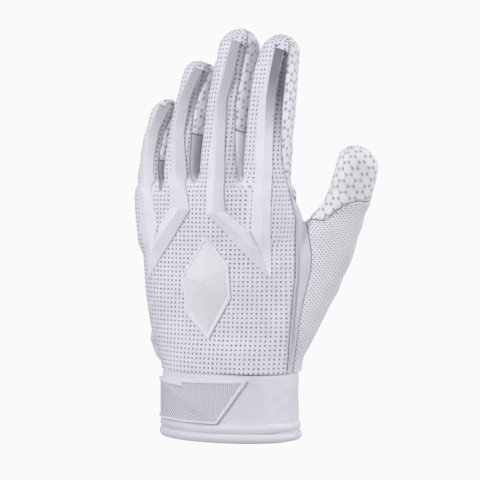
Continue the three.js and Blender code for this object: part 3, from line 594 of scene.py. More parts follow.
def ridge_values(points, near):
    """Where the fingertips' caps begin, how far they and the flanks rise, and how dark the painted shade on
    the flanks is.
    """
    tip = np.full(len(points), -10.0)
    lift, flank, shade = np.zeros((3, len(points)))
    for k, name in enumerate(FINGER_NAMES):
        limb = LIMBS[name]
        rows = np.array(sorted(RIDGE_ON_FINGER[name]))
        mine = near == k
        at, side, grip = limb.local(points[mine])
        wide = limb.section(at)[0]
        place = side / wide
        left, right = (np.interp(at, rows[:, 0], rows[:, i]) for i in (1, 3))
        seam = table(FLANK_EDGE[name], at)
        dorsal = grip < 0
        past = np.clip((place - right) / np.maximum(seam - right, 0.12), 0, 1)
        before = smooth_step(-0.5, 0, (place - right) / np.maximum(right - left, 0.2))
        raised = flank_lift(at) * np.where(place > right, 1 - past, before) * dorsal
        top = rows[-1]
        line = (at - top[0]) * limb.length + RIDGE_SLANT * (place - top[2]) * wide
        end = FLANK_EDGE[name][-1][1]
        height = ridge_profile(place, *top[1:], end, flank_lift(top[0]))
        over = np.minimum(place - top[1] + 0.3, end + 0.03 - place)
        cover = smooth_step(0, 0.25, over) * dorsal * (1 - smooth_step(0, 9.0, line))
        tip[mine] = np.where(dorsal & (over > -0.1), np.clip(line, -9, 9), -9)
        lift[mine] = (height + CAP_LIFT) * cover
        flank[mine] = np.where(line > 0, 0, raised)
        # painted shade on the raised cloth right of each ridge, growing toward the tip
        dark = smooth_step(0.0, 0.04, place - right) * smooth_step(0.3, 0.8, at) * dorsal
        shade[mine] = dark * smooth_step(0.03, -0.03, place - seam) * (line < 0) * FLANK_PAINTED_SHADE[name]
    return {"tip": tip, "lift": lift, "flank": flank, "shade": shade}


def beside_tongues(points):
    """Distance in mm from the rounded lower ends of the finger gussets, negative on them."""
    across = seen_across(points)
    z = points[:, 2]
    result = np.full(len(points), SEAM_REACH)
    for foot_x, upper_x, foot, half in TONGUES:
        away = np.abs(across - mix(foot_x, upper_x, (z - foot) / 14))
        rise = np.clip((z - foot) / TONGUE_TALL, 0, 1)
        width = half * np.sqrt(1 - (1 - rise) ** 2)
        below = np.maximum(foot - z, 0)
        result = np.minimum(result, np.where(z > foot, away - width, np.hypot(away, below)))
    return result


def flank_lift(share):
    return FLANK_LIFT * smooth_step(0.5, 0.85, share)


def ridge_profile(place, left, peak, right, seam, flank):
    """Height of the ridge's section, and of the raised cloth beside it, in mm."""
    return np.interp(place, [left - 0.25, left, peak, right, seam],
                     [0, RIDGE_EDGE, RIDGE_HEIGHT, RIDGE_EDGE + flank, 0])


# Small random shapes that come out the same each time


def ripples(points, seed, size, count=18):
    """Soft random waves of about the given size in mm, from -1 to 1."""
    rng = np.random.default_rng(seed)
    total = np.zeros(len(points))
    for _ in range(count):
        way = rng.normal(size=3)
        way *= 2 * math.pi / size * rng.uniform(0.6, 1.5) / np.linalg.norm(way)
        total += np.sin(points @ way + rng.uniform(0, 2 * math.pi))
    return total / math.sqrt(count) / 1.6


# Meshes


def make_object(name, material, points, faces, uv, values=None, sharp=50):
    """One mesh object from points in mm."""
    mesh = bpy.data.meshes.new(name)
    mesh.vertices.add(len(points))
    mesh.vertices.foreach_set("co", (points * MM).astype(np.float32).ravel())
    mesh.loops.add(faces.size)
    mesh.loops.foreach_set("vertex_index", faces.ravel().astype(np.int32))
    mesh.polygons.add(len(faces))
    mesh.polygons.foreach_set("loop_start", np.arange(0, faces.size, 3, dtype=np.int32))
    mesh.polygons.foreach_set("use_smooth", np.ones(len(faces), bool))
    mesh.update(calc_edges=True)
    mesh.validate()
    layer = mesh.uv_layers.new(name="cloth")
    index = np.empty(len(mesh.loops), np.int32)
    mesh.loops.foreach_get("vertex_index", index)
    layer.data.foreach_set("uv", uv[index].astype(np.float32).ravel())
    for key, array in (values or {}).items():
        layer = mesh.attributes.new(key, "FLOAT", "POINT")
        layer.data.foreach_set("value", array.astype(np.float32))
    mesh.set_sharp_from_angle(angle=math.radians(sharp))
    mesh.materials.append(material)
    made = bpy.data.objects.new(name, mesh)
    bpy.context.scene.collection.objects.link(made)
    return made


def shell(points, normals, faces, thickness, uv, **values):
    """A closed shell: the outer faces, an inner copy of them, and a rim along every open edge."""
    count = len(points)
    edges = np.concatenate([faces[:, [0, 1]], faces[:, [1, 2]], faces[:, [2, 0]]])
    _, first, number = np.unique(np.sort(edges, axis=1), axis=0, return_index=True, return_counts=True)
    a, b = edges[first[number == 1]].T
    rim = [columns(b, a, a + count), columns(b, a + count, b + count)]
    both = np.concatenate([points, points - normals * thickness])
    closed = outward(both, np.concatenate([faces, faces[:, ::-1] + count, *rim]))
    return both, closed, np.tile(uv, (2, 1)), {key: np.tile(array, 2) for key, array in values.items()}


def stacked(shells):
    """Several shells as one."""
    points, faces, uv, values = zip(*shells)
    starts = np.cumsum([0] + [len(p) for p in points])
    faces = [f + n for f, n in zip(faces, starts)]
    named = {key: np.concatenate([v[key] for v in values]) for key in values[0]}
    return *map(np.concatenate, (points, faces, uv)), named


# Cloth coordinates in mm: how far round and how far up each point of a panel is


def arc_table():
    """Lengths along rounded half sections of unit width, a row for each ratio of depth to width."""
    angles = np.radians(np.arange(0, 181))
    ratios = np.linspace(0.3, 1.8, 16)
    rows = []
    power = ARC_ROUNDNESS
    for ratio in ratios:
        reach = (np.sin(angles) ** power + np.abs(np.cos(angles)) ** power) ** (-1 / power)
        rows.append(path_length(columns(reach * np.sin(angles), -ratio * reach * np.cos(angles))))
    return ratios, np.array(rows)


ARC_RATIOS, ARC_ROWS = arc_table()


def arc(angle, half, deep):
    """Length in mm along a rounded section from its middle to an angle in degrees."""
    place = (deep / half - ARC_RATIOS[0]) / (ARC_RATIOS[1] - ARC_RATIOS[0])
    place = np.clip(place, 0, len(ARC_RATIOS) - 1.001)
    low = place.astype(int)
    at = np.clip(np.abs(angle), 0, 179.999)
    left = at.astype(int)
    share = at - left

    def look(row):
        return mix(ARC_ROWS[row, left], ARC_ROWS[row, left + 1], share)

    return np.sign(angle) * half * mix(look(low), look(low + 1), place - low)


JOIN_LEVEL = 146.0
PALM_ARC = 19.0


def limb_cloth(limb, points, from_front=False):
    share, side, grip = limb.local(points)
    wide, deep, _ = limb.section(share)
    front = grip if from_front else -grip
    angle = np.degrees(np.arctan2(side / wide, front / deep))
    rise = np.clip(((share - 1) * limb.length + limb.tip) / limb.tip, 0, 1)
    across = mix(arc(angle, wide, deep), side, smooth_step(0.15, 0.75, rise))
    return across, share * limb.length + limb.tip * (np.arcsin(rise) - rise)


def hand_cloth(points, from_front=False):
    """Cloth coordinates of the back, or of the grip side when from_front is set."""
    side, out, half, _ = palm_local(points)
    front = out if from_front else -out
    if not from_front:
        rise = smooth_step(132, 140, points[:, 2]) * smooth_step(0.98, 0.7, np.abs(side))
        front = np.maximum(front, 0.8 * rise)
    angle = np.degrees(np.arctan2(side, front))
    across = palm_section(points[:, 2])[0] + arc(angle, half, PALM_ARC)
    if from_front:
        across = mix(points[:, 0], across, smooth_step(-0.6, -0.95, side))
    up = points[:, 2].copy()
    near = nearest_finger(points)
    share = smooth_step(JOIN_LEVEL - 6, JOIN_LEVEL + 14, points[:, 2])
    for k, name in enumerate(FINGER_NAMES):
        limb = LIMBS[name]
        mine = near == k
        crest = np.array([limb.point(s, 0.0) for s in np.linspace(0, 1, 41)])
        middle = np.interp(JOIN_LEVEL, crest[:, 2], crest[:, 0])
        u, v = limb_cloth(limb, points[mine], from_front)
        across[mine] = mix(across[mine], middle + u, share[mine])
        up[mine] += v - limb.local(points[mine])[0] * limb.length
    return columns(across, up)


def grip_side_cloth(points):
    return hand_cloth(points, from_front=True)


def thumb_cloth(points):
    return columns(*limb_cloth(LIMBS["thumb"], points))


def flat_cloth(points):
    return columns(points[:, 0] * 0.8 + points[:, 1] * 0.6, points[:, 2])


# Panels of cloth

BREAK_X = 17.0
# Finger sides that lean on a neighbour: finger, angle round it, height
PRESSED_SIDES = [("index", -95, 2.7), ("middle", 95, 1.3)]
# Fuller and thinner places: x, y, z, reach, height
SWELLS = [
    (43.0, 0.0, 124.0, 9.0, 2.6), (54.0, 2.0, 62.0, 15.0, 1.5), (-19.0, 14.0, 219.0, 9.0, -2.6),
    (-6.0, 14.0, 233.0, 9.0, -1.0), (-44.0, 14.0, 203.0, 9.0, -2.2), (64.0, 6.0, 163.0, 6.5, -2.8),
    (-45.0, 5.0, 78.0, 20.0, 0.8),
]


def relief(points):
    """Broad shape of the worn cloth in mm: the soft fold down the back, and light wrinkles."""
    x, y, z = points.T
    behind = smooth_step(2, -6, y)
    fold = 1.1 * np.exp(-np.sqrt((x - BREAK_X) ** 2 + 1.5) / 8) * behind * smooth_step(122, 105, z)
    low = smooth_step(150, 120, z)
    wave = 0.16 * ripples(points, 5, 34) + 0.1 * low * ripples(points * [1.6, 1, 1], 9, 17)
    front = smooth_step(0, 8, y)
    return fold + wave + local_swell(points) + front * 0.35 * ripples(points * [1, 1, 1.5], 12, 22)


def local_swell(points):
    """Places where the worn glove is fuller or thinner than its plain form, in mm."""
    total = np.zeros(len(points))
    for name, turn, height in PRESSED_SIDES:
        limb = LIMBS[name]
        share = limb.local(points)[0]
        close = smooth_step(3.5, 0.5, np.abs(limb.field(points)))
        facing = smooth_step(65, 25, np.abs(limb.angle(points) - turn))
        total += height * close * facing * smooth_step(0.12, 0.28, share) * smooth_step(0.95, 0.78, share)
    for x, y, z, reach, height in SWELLS:
        away = np.linalg.norm((points - [x, y, z]) * [1, 0.5, 1], axis=1)
        total += height * np.exp(-(away / reach) ** 2)
    return total


def seam_roll(distance):
    return -SEAM_DEPTH * np.exp(-(np.abs(distance) / SEAM_WIDTH) ** 2)


def make_panel(name, skin, faces, seams, cloth, material, sink=0.0, finger_parts=False, dark=0.0):
    """One panel: its faces moved to their worn shape, thickened, with cloth coordinates."""
    tips, rest = skin.split(faces, "tip") if finger_parts else ([], faces)
    shells = []
    for group, rise in ((rest, "flank"), (tips, "lift")):
        if not len(group):
            continue
        used, local = np.unique(group, return_inverse=True)
        at = {key: array[used] for key, array in skin.values.items()}
        points = at["point"]
        normals = unit(at["normal"])
        seam = np.min([np.abs(at[s]) for s in seams], axis=0)
        height = relief(points) + seam_roll(seam) - sink
        if finger_parts:
            height += at[rise]
        plain = smooth_step(0.55, 0.75, normals[:, 2]) * smooth_step(168, 162, points[:, 2])
        # the painted shade of the flanks, plus the panel's own painted shade
        shells.append(shell(points + normals * height[:, None], normals, local.reshape(group.shape), SHELL,
                            cloth(points), seam=seam, shade=at["shade"] + dark, plain=plain))
    return make_object(name + "_cloth", material, *stacked(shells))


def make_panels(looks):
    points, quads = surface_net(GRID_LOW, GRID_HIGH, STEP)
    points, normals = settle(points)
    skin = Skin(skin_values(points, normals))
    rest, _ = skin.split(halves(points, quads), "bottom")
    parts = {}
    for seam in ("back", "leaf", "mesh", "cap", *GUSSETS):
        parts[seam], rest = skin.take(rest, seam)
    made = {}

    def add(name, faces, seams, cloth, look, **form):
        made[name] = make_panel(name, skin, faces, seams, cloth, looks[look], **form)

    add("back_panel", parts["back"], ["back"], hand_cloth, "back_cloth", finger_parts=True)
    add("side_gusset", parts["leaf"], ["leaf"], flat_cloth, "side_cloth", sink=0.25)
    add("thumb_mesh_panel", parts["mesh"], ["mesh"], thumb_cloth, "mesh_cloth", sink=0.1)
    add("thumb_grip_cap", parts["cap"], ["cap"], thumb_cloth, "grip_cloth")
    for name in GUSSETS:
        # each gusset is darkened by its own painted shade
        add(name, parts[name], [name, "back"], flat_cloth, "gusset_cloth", sink=0.45, dark=GUSSET_PAINTED_SHADE[name])
    add("palm_panel", rest, list(parts), grip_side_cloth, "grip_cloth")
    return made


# Moulded ridges and pad


def rail_curve(rows):
    """Places about a millimetre apart along straight lines through the rows."""
    rows = np.array(rows)
    out = []
    for a, b in zip(rows[:-1], rows[1:]):
        count = max(2, int(np.linalg.norm(b[1] - a[1]) / 1.2))
        out += [mix(a, b, k / count) for k in range(count)]
    out.append(rows[-1])
    return np.array(out)


def ridge_strip(name):
    """Left, peak and right lines of one ridge on the skin, with the right edge's lift and painted shade."""
    limb = LIMBS[name]
    rows = []
    first = RIDGE_ON_FINGER[name][0]
    begin = (first[0] + 1.6 / limb.length,) + first[1:]
    for share, left, peak, right in [begin] + RIDGE_ON_FINGER[name][1:]:
        slant = RIDGE_SLANT * limb.half_width / limb.length if share == begin[0] else 0.0
        # painted shade on the ridge's shaded side, growing toward the tip
        dark = float(smooth_step(0.4, 0.8, share))
        rows.append([np.append(limb.point(share - slant * (t - peak), t), (flank_lift(share), dark))
                     for t in (left, peak, right)])
    for station in RIDGE_ON_PALM[name]:
        rows.append([np.append(palm_back(across * PALM_WIDTH / 2, up_to_z(up)), (0.0, 0.0))
                     for across, up in zip(station[::2], station[1::2])])
    return rail_curve(rows)


def back_skin(points, turn=0.0, reach=12.0):
    """The skin straight behind each place as seen from a turn, or the nearest skin where that is far off."""
    ahead = np.array([-math.sin(turn), math.cos(turn), 0.0])
    depth = points @ ahead
    far = points + np.outer(-40.0 - depth, ahead)
    for _ in range(80):
        far += np.outer(np.clip(hand_field(far), 0, 2.0) * 0.8, ahead)
    close = np.abs(far @ ahead - depth) < reach
    return settle(np.where(close[:, None], far, points), turns=2)


def ridge_mesh(name):
    """Points, faces and painted shade of one ridge, two flat faces that meet in a crisp line."""
    tall, end, dark = RIDGE_FORM[name]
    strip = ridge_strip(name)
    rails = []
    for k, project in enumerate((settle, back_skin, back_skin)):
        ground, normals = project(strip[:, k, :3])
        rails.append((ground + normals * relief(ground)[:, None], normals))
    (left, n_left), (peak, n_peak), (right, n_right) = rails
    run = path_length(peak)
    size = tall * mix(end, 1, np.clip((run[-1] - run) / RIDGE_TAPER, 0, 1))[:, None]
    edge = (RIDGE_EDGE + 0.25) * size
    raised = strip[:, 2, 3][:, None]
    top_left = left + n_left * edge
    top = peak + n_peak * ((RIDGE_HEIGHT + 0.3) * size + 0.35 * raised)
    top_right = right + n_right * (edge + raised)
    section = [left - n_left * RIDGE_ROOT, left + n_left * edge * 0.75]
    section += [mix(top_left, top, t) for t in (0.05, 0.5, 0.95)] + [top - n_peak * 0.06]
    section += [mix(top, top_right, t) for t in (0.05, 0.5, 0.95)]
    section += [right + n_right * (edge * 0.75 + raised), right + n_right * (raised - RIDGE_ROOT)]
    # painted shade on the ridge's right faces
    shade = np.zeros((len(strip), len(section)))
    shade[:, 6:] = (dark * strip[:, 2, 4])[:, None]
    return *solid(columns(*section)), {"shade": shade.ravel()}


def cut_quads(*corners):
    """Triangles of four-sided faces given by their four corners' numbers."""
    quads = np.stack(corners, axis=-1).reshape(-1, 4)
    return np.concatenate([quads[:, [0, 1, 2]], quads[:, [0, 2, 3]]])


def tube_of(rings, closed=False):
    """Points and triangles of a solid through closed sections, with flat ends unless it meets itself."""
    count, sides, _ = rings.shape
    points = rings.reshape(-1, 3)
    i = np.arange(count if closed else count - 1)[:, None] * sides
    j = np.arange(sides)
    beside = (j + 1) % sides
    after = (i + sides) % (count * sides)
    faces = cut_quads(i + j, i + beside, after + beside, after + j)
    if not closed:
        fan = np.arange(1, sides - 1)
        high = columns(0 * fan, fan, fan + 1) + (count - 1) * sides
        faces = np.concatenate([faces, columns(0 * fan, fan + 1, fan), high])
    return points, faces


def outward(points, faces):
    """Faces turned so that the solid's volume is positive."""
    a, b, c = (points[faces[:, i]] for i in range(3))
    volume = np.einsum("ij,ij->i", a, np.cross(b, c)).sum()
    return faces if volume > 0 else faces[:, ::-1]


def solid(rings, closed=False):
    """Points, faces and cloth coordinates of a solid through closed sections."""
    points, faces = tube_of(rings, closed)
    return points, outward(points, faces), flat_cloth(points)


def make_ridges(looks):
    made = {}
    for node, names in (("ridge_middle_index", ("index", "middle")), ("ridge_pinky_ring", ("pinky", "ring"))):
        ridges = stacked([ridge_mesh(name) for name in names])
        made[node] = make_object(node + "_rubber", looks["moulded_rubber"], *ridges, 13)
    return made


def make_pad(looks):
    """A faceted pad on the middle of the back, with a raised edge all round."""
    middle = np.array([PAD_ACROSS * PALM_WIDTH / 2, up_to_z(PAD_UP)])
    size = np.array([PAD_WIDTH / 2, PAD_LENGTH / 2])
    corners, peak = np.array(PAD_OUTLINE), np.array(PAD_PEAK)
    sides = zip(corners, np.roll(corners, -1, axis=0))
    outline = np.array([mix(a, b, k / 8) for a, b in sides for k in range(8)])
    levels = [(1.0, -1.0), (1.0, PAD_EDGE * 0.85), (0.975, PAD_EDGE), (0.9, PAD_EDGE), (PAD_FACE, 0.8)]
    levels += [(scale, mix(PAD_HEIGHT + 2.0, PAD_EDGE * 0.7, scale / PAD_FACE))
               for scale in np.linspace(0.86, 0.04, 12)]
    flat = np.concatenate([middle + size * mix(peak, outline, scale) for scale, _ in levels])
    height = np.repeat([level[1] for level in levels], len(outline))
    ground, normals = back_skin(columns(flat[:, 0], np.full(len(flat), -18.0), flat[:, 1]))
    points = ground + normals * (height + relief(ground))[:, None]
    pad = solid(points.reshape(len(levels), len(outline), 3))
    return {"back_pad": make_object("back_pad_moulded", looks["moulded_pad"], *pad, sharp=12)}


# Piping, stitches and other thin trim


def seam_path(low, high, step=1.2):
    """Points and normals on the skin of the back along its thumb edge between two heights."""
    z = np.arange(low, high, step)
    turn = math.radians(CAMERA_TURN)
    across = edge_across(BACK_EDGE, z)
    guess = columns(across * math.cos(turn), across * math.sin(turn), z)
    ground, normals = back_skin(guess, turn, 60.0)
    return ground + normals * relief(ground)[:, None], normals


def make_piping(looks):
    path, normals = seam_path(CUFF_HEIGHT + 0.6, up_to_z(PIPING_TOP))
    ahead = path[2:] - path[:-2]
    ahead = np.concatenate([[path[1] - path[0]], ahead, [path[-1] - path[-2]]])
    side = unit(np.cross(ahead, normals))
    cord = solid(columns(*(path + side * (0.5 * math.cos(a) + 0.05) + normals * (0.6 * math.sin(a) + 0.15)
                           for a in circle(12))))
    return {"side_piping": make_object("side_piping_cord", looks["piping_cord"], *cord, sharp=60)}


def stitch_row(path, normals, offset=0.0):
    """A row of stitches laid along a path, moved sideways by the offset."""
    run = path_length(path)
    stitches = []
    for begin in np.arange(0.5, run[-1] - STITCH_LENGTH, STITCH_PITCH):
        at = begin + np.linspace(0, STITCH_LENGTH, 5)
        line, out = (columns(*(np.interp(at, run, axis) for axis in rows.T)) for rows in (path, normals))
        ahead = line[-1] - line[0]
        side = np.cross(ahead / np.linalg.norm(ahead), out)
        middle = line + side * offset + out * (np.array([-0.25, 0.12, 0.22, 0.12, -0.25]) + 0.1)[:, None]
        thick = STITCH_RADIUS * np.array([0.5, 0.95, 1.0, 0.95, 0.5])[:, None]
        rings = columns(*(middle + thick * (math.cos(a) * side + math.sin(a) * out)
                          for a in np.arange(6) * math.pi / 3))
        stitches.append((*solid(rings), {}))
    return stitches


def make_stitches(looks):
    """The thread that shows: beside the piping, and round the thumb cap."""
    rows = stitch_row(*seam_path(CUFF_HEIGHT + 2, up_to_z(PIPING_TOP) - 12), -1.5)
    x = np.linspace(50, 80, 26)
    for drop in (-1.3, 1.3):
        ground, out = back_skin(columns(x, np.full(len(x), 4.0), cap_line(x) + drop))
        keep = (np.abs(out[:, 1]) > 0.25) & (np.abs(hand_field(ground)) < 0.2)
        rows += stitch_row(ground[keep] + out[keep] * relief(ground[keep])[:, None], out[keep])
    return {"stitches": make_object("seam_stitches", looks["thread"], *stacked(rows), 60)}


# Cuff, hem, strap and heel tab


def wrist_point(angle, grow, z):
    """A point of the wrist's ellipse grown by some mm, with the angle in radians."""
    y = palm_section(CUFF_HEIGHT)[1]
    return np.stack([(CUFF_WIDTH / 2 + grow) * np.cos(angle), y + (CUFF_DEPTH / 2 + grow) * np.sin(angle),
                     z + 0 * angle], axis=-1)


def cuff_grow(angle, z):
    """How far the worn cuff stands out from its plain ellipse."""
    points = wrist_point(angle, 0, z)
    soft = 0.3 * ripples(points * [1.4, 1.4, 0.45], 21, 16) + 0.12 * ripples(points, 23, 7)
    tuck = -2.3 * smooth_step(CUFF_HEIGHT - 0.5, CUFF_HEIGHT + 0.8, z)
    return -0.9 + soft * smooth_step(CUFF_HEIGHT, CUFF_HEIGHT - 8, z) * smooth_step(8, 14, z) + tuck


def make_cuff(looks):
    turns = circle(220)
    heights = np.concatenate([np.linspace(3.5, CUFF_HEIGHT - 1, 48), np.linspace(CUFF_HEIGHT, 43.5, 8)])
    z, angle = flat_grid(heights, turns)
    points = wrist_point(angle, cuff_grow(angle, z), z)
    normals = unit(points * [1, 2.2, 0])
    faces = tube_of(points.reshape(len(heights), len(turns), 3))[1][:2 * (len(heights) - 1) * len(turns)]
    band = shell(points, normals, faces, 1.3, columns(angle * WRIST_RADIUS, z))
    made = {"cuff_band": make_object("cuff_band_cloth", looks["cuff_cloth"], *band)}
    for name, *form in HEMS:
        made[name] = make_hem(name, *form, looks["hem_cloth"])
    return made


def make_hem(name, middle, half, reach, drop, seed, material):
    """One soft roll round the wrist end, a little uneven, thinner toward the thumb edge."""
    turns, around = circle(260), circle(16)
    uneven = ripples(wrist_point(turns, 0, 0.0), seed, 26)
    pinch = smooth_step(0.75, 1.0, np.cos(turns))
    tall = half * (1 - 0.18 * pinch) + 0.12 * uneven
    centre = np.maximum(middle + drop * pinch + 0.25 * uneven, tall)
    round_in = np.abs(np.cos(around)) ** 0.85 * np.sign(np.cos(around))
    rings = wrist_point(turns[:, None], -1.35 + np.outer(reach * (1 + 0.12 * uneven), round_in),
                        centre[:, None] + np.outer(tall, np.sin(around)))
    points, faces, _ = solid(rings, closed=True)
    uv = columns(np.repeat(turns * WRIST_RADIUS, 16), np.tile(around * 2.4, len(turns)))
    return make_object(name + "_cloth", material, points, faces, uv, sharp=70)


def round_wrist(angle):
    """Length in mm along the wrist's ellipse from the middle of the back, negative to the outer side."""
    steps = np.linspace(0, 2 * math.pi, 721)
    run = path_length(columns(CUFF_WIDTH / 2 * np.cos(steps), CUFF_DEPTH / 2 * np.sin(steps)))
    return np.interp(angle, steps, run) - np.interp(BACK_TURN, steps, run)


def make_strap(looks):
    """The closing strap: ribbed rubber with a raised edge, cut off on a slant at its free end."""
    start = math.pi / 2 + math.asin(-STRAP_START)
    top_end, bottom_end = (BACK_TURN + math.asin(end) for end in (STRAP_TOP_END, STRAP_BOTTOM_END))
    t, s = flat_grid(np.linspace(0, 1, 360), np.linspace(0, 1, 80))
    height = STRAP_WIDTH * (1 - STRAP_DROP * (1 - t))
    long = mix(bottom_end - start, top_end - start, s)
    angle = start + t * long
    z = HEM_HEIGHT + 2 * GAP + height * s
    run = round_wrist(angle)
    edge = np.min([s * height, (1 - s) * height, (1 - t) * long * STRAP_RADIUS, run - run[0]], axis=0)
    border = smooth_step(1.55, 1.25, edge)
    lip = strap_lip(run, z)
    rise = np.maximum(0.6 * border, 0.75 * lip) * smooth_step(-0.1, 0.3, edge)
    points = wrist_point(angle, rise - 0.75 + STRAP_THICKNESS * 0.62, z)
    normals = wrist_point(angle, 0, z) - [0, palm_section(CUFF_HEIGHT)[1], 0]
    normals = unit(normals * [1 / CUFF_WIDTH ** 2, 1 / CUFF_DEPTH ** 2, 0])
    strap = shell(points, normals, grid_faces(360, 80), STRAP_THICKNESS * 0.75, columns(run, z),
                  plain=np.maximum(border, lip))
    return {"wrist_strap": make_object("wrist_strap_rubber", looks["strap_rubber"], *strap)}


def grid_faces(rows, across):
    """Triangles over a grid of points."""
    a = np.arange(rows - 1)[:, None] * across + np.arange(across - 1)
    return cut_quads(a, a + across, a + across + 1, a + 1)


def strap_lip(run, z):
    """The plain lip in the top edge near the outer side."""
    bottom = np.interp(run, [-40, -19], [31.6, 30.4])
    return smooth_step(-0.3, 0.3, z - bottom) * smooth_step(-19.5, -20.2, run)


def make_tab(looks):
    """The small folded tab on the outer heel of the hand."""
    middle = up_to_z(0.095)
    across, up = flat_grid(np.linspace(-1, 1, 34), np.linspace(0, 1, 40))
    width = 8.6 * np.sqrt(np.clip(1 - np.clip((up - 0.72) / 0.33, 0, 1) ** 2 * 0.75, 0.1, 1))
    y = palm_section(middle)[1] + PALM_BEND_OUTER * PALM_DEPTH / 2 + across * width - 1.5 * up
    z = middle - 9.6 + 20 * up
    ground, normals = settle(columns(np.full(y.size, -46.0), y, z), 8)
    grow = 0.7 + 2.3 * smooth_step(0.02, 0.4, up) * smooth_step(1.05, 0.82, up) + 0.25 * np.cos(across * 3)
    grow = grow[:, None]
    tab = shell(ground + normals * grow, normals, grid_faces(34, 40), grow - 0.2, columns(y, z))
    return {"heel_tab": make_object("heel_tab_cloth", looks["tab_cloth"], *tab)}


# Materials


class Value:
    """A number or colour in a material's nodes, which Python's own signs work on."""

    def __init__(self, graph, socket):
        self.graph = graph
        self.socket = socket

    def __add__(self, other):
        return self.graph.math("ADD", self, other)

    def __sub__(self, other):
        return self.graph.math("SUBTRACT", self, other)

    def __rsub__(self, other):
        return self.graph.math("SUBTRACT", other, self)

    def __mul__(self, other):
        return self.graph.math("MULTIPLY", self, other)

    def __pow__(self, other):
        return self.graph.math("POWER", self, other)

    def __abs__(self):
        return self.graph.math("ABSOLUTE", self)

    def cosine(self):
        return self.graph.math("COSINE", self)

    def wave(self, pitch):
        """A smooth wave from 0 to 1 with the given pitch."""
        return self.graph.math("SINE", self * (2 * math.pi / pitch)) * 0.5 + 0.5

    def cell(self, pitch):
        """Distance in mm from the middle of the cell that the value falls in, and the cell's number."""
        turns = self * (1 / pitch)
        number = self.graph.math("FLOOR", turns)
        return (turns - number - 0.5) * pitch, number

    def ramp(self, low, high, to_low=0.0, to_high=1.0):
        """A smooth step from one value to another."""
        return self.graph.node("MapRange", 0, (self, low, high, to_low, to_high),
                               interpolation_type="SMOOTHSTEP")


class Graph:
    """A small helper that lays out one material's nodes."""

    def __init__(self, name, colour, roughness, sheen=0.0, specular=0.5):
        self.material = bpy.data.materials.new(name)
        self.material.use_nodes = True
        self.nodes = self.material.node_tree.nodes
        self.links = self.material.node_tree.links
        self.shader = self.nodes["Principled BSDF"]
        for socket, value in (("Base Color", colour), ("Roughness", roughness), ("Sheen Weight", sheen),
                              ("Sheen Roughness", 0.5), ("Specular IOR Level", specular)):
            self.put(self.shader.inputs[socket], value)

    def put(self, socket, value):
        if isinstance(value, Value):
            self.links.new(value.socket, socket)
        elif socket.type == "RGBA":
            socket.default_value = (*value, 1)
        else:
            socket.default_value = value

    def node(self, kind, output, inputs=(), **settings):
        """A new node's output, with its inputs given in order or by name."""
        node = self.nodes.new("ShaderNode" + kind)
        for key, value in settings.items():
            setattr(node, key, value)
        for key, value in inputs.items() if isinstance(inputs, dict) else enumerate(inputs):
            self.put(node.inputs[key], value)
        return Value(self, node.outputs[output])

    def math(self, kind, *values):
        return self.node("Math", 0, values, operation=kind)

    def blend(self, share, a, b):
        return self.node("Mix", 2, {"Factor": share, 6: a, 7: b}, data_type="RGBA")

    def cloth(self):
        """Cloth coordinates in mm: across and up."""
        place = self.node("UVMap", 0, uv_map="cloth")
        return tuple(self.node("SeparateXYZ", k, [place]) for k in (0, 1))

    def value(self, name):
        """A number that the mesh carries at its points."""
        return self.node("Attribute", "Fac", attribute_name=name)

    def noise(self, scale, detail=3.0):
        where = self.node("TexCoord", "Object")
        return self.node("TexNoise", "Fac", {"Vector": where, "Scale": scale, "Detail": detail})

    def random(self, column, row):
        """A random share for each cell."""
        where = self.node("CombineXYZ", 0, [column, row])
        return self.node("TexWhiteNoise", "Value", {"Vector": where}, noise_dimensions="2D")

    def drift(self, scale, low, high, detail=3.0):
        """A tone that drifts softly between two colours."""
        return self.blend(self.noise(scale, detail).ramp(0.3, 0.7), low, high)

    def bump(self, height, depth):
        """Bump of the given depth in mm from a height between 0 and 1."""
        return self.node("Bump", 0, {"Distance": depth * MM, "Strength": 1.0, "Height": height})

    def finish(self, colour, normal=None, roughness=None):
        for socket, value in (("Base Color", colour), ("Normal", normal), ("Roughness", roughness)):
            if value:
                self.put(self.shader.inputs[socket], value)
        return self.material


WHITE = (0.83, 0.83, 0.88)
DOT_GREY = (0.22, 0.22, 0.26)
# Grey of the painted shade on the flanks beside the ridges and on the ridges' shaded sides
PAINTED_SHADE_GREY = (0.16, 0.16, 0.18)
# Grey of the painted shade along the seams
SEAM_SHADE_GREY = (0.3, 0.3, 0.34)
# Grey of the mesh's holes, and of the painted shade in the strap's rib grooves
HOLE_AND_GROOVE_SHADE_GREY = (0.38, 0.38, 0.42)
DOT_ACROSS = 2.55
DOT_UP = 2.52
GRIP_PITCH = 6.0
MESH_ACROSS = 1.8
MESH_UP = 1.35
UPRIGHT_PITCH = 1.15
SLANTED_PITCH = 1.3


def times(colour, share):
    return tuple(min(1, c * share) for c in colour)


def fine_weave(u, v, pitch=0.62):
    return u.wave(pitch) * v.wave(pitch * 0.9)


def seam_shade(g, colour):
    """A thin line of painted shade where the cloth turns under at its seam."""
    return g.blend(g.value("seam").ramp(0.15, 0.6, 0.35, 0.0), colour, SEAM_SHADE_GREY)


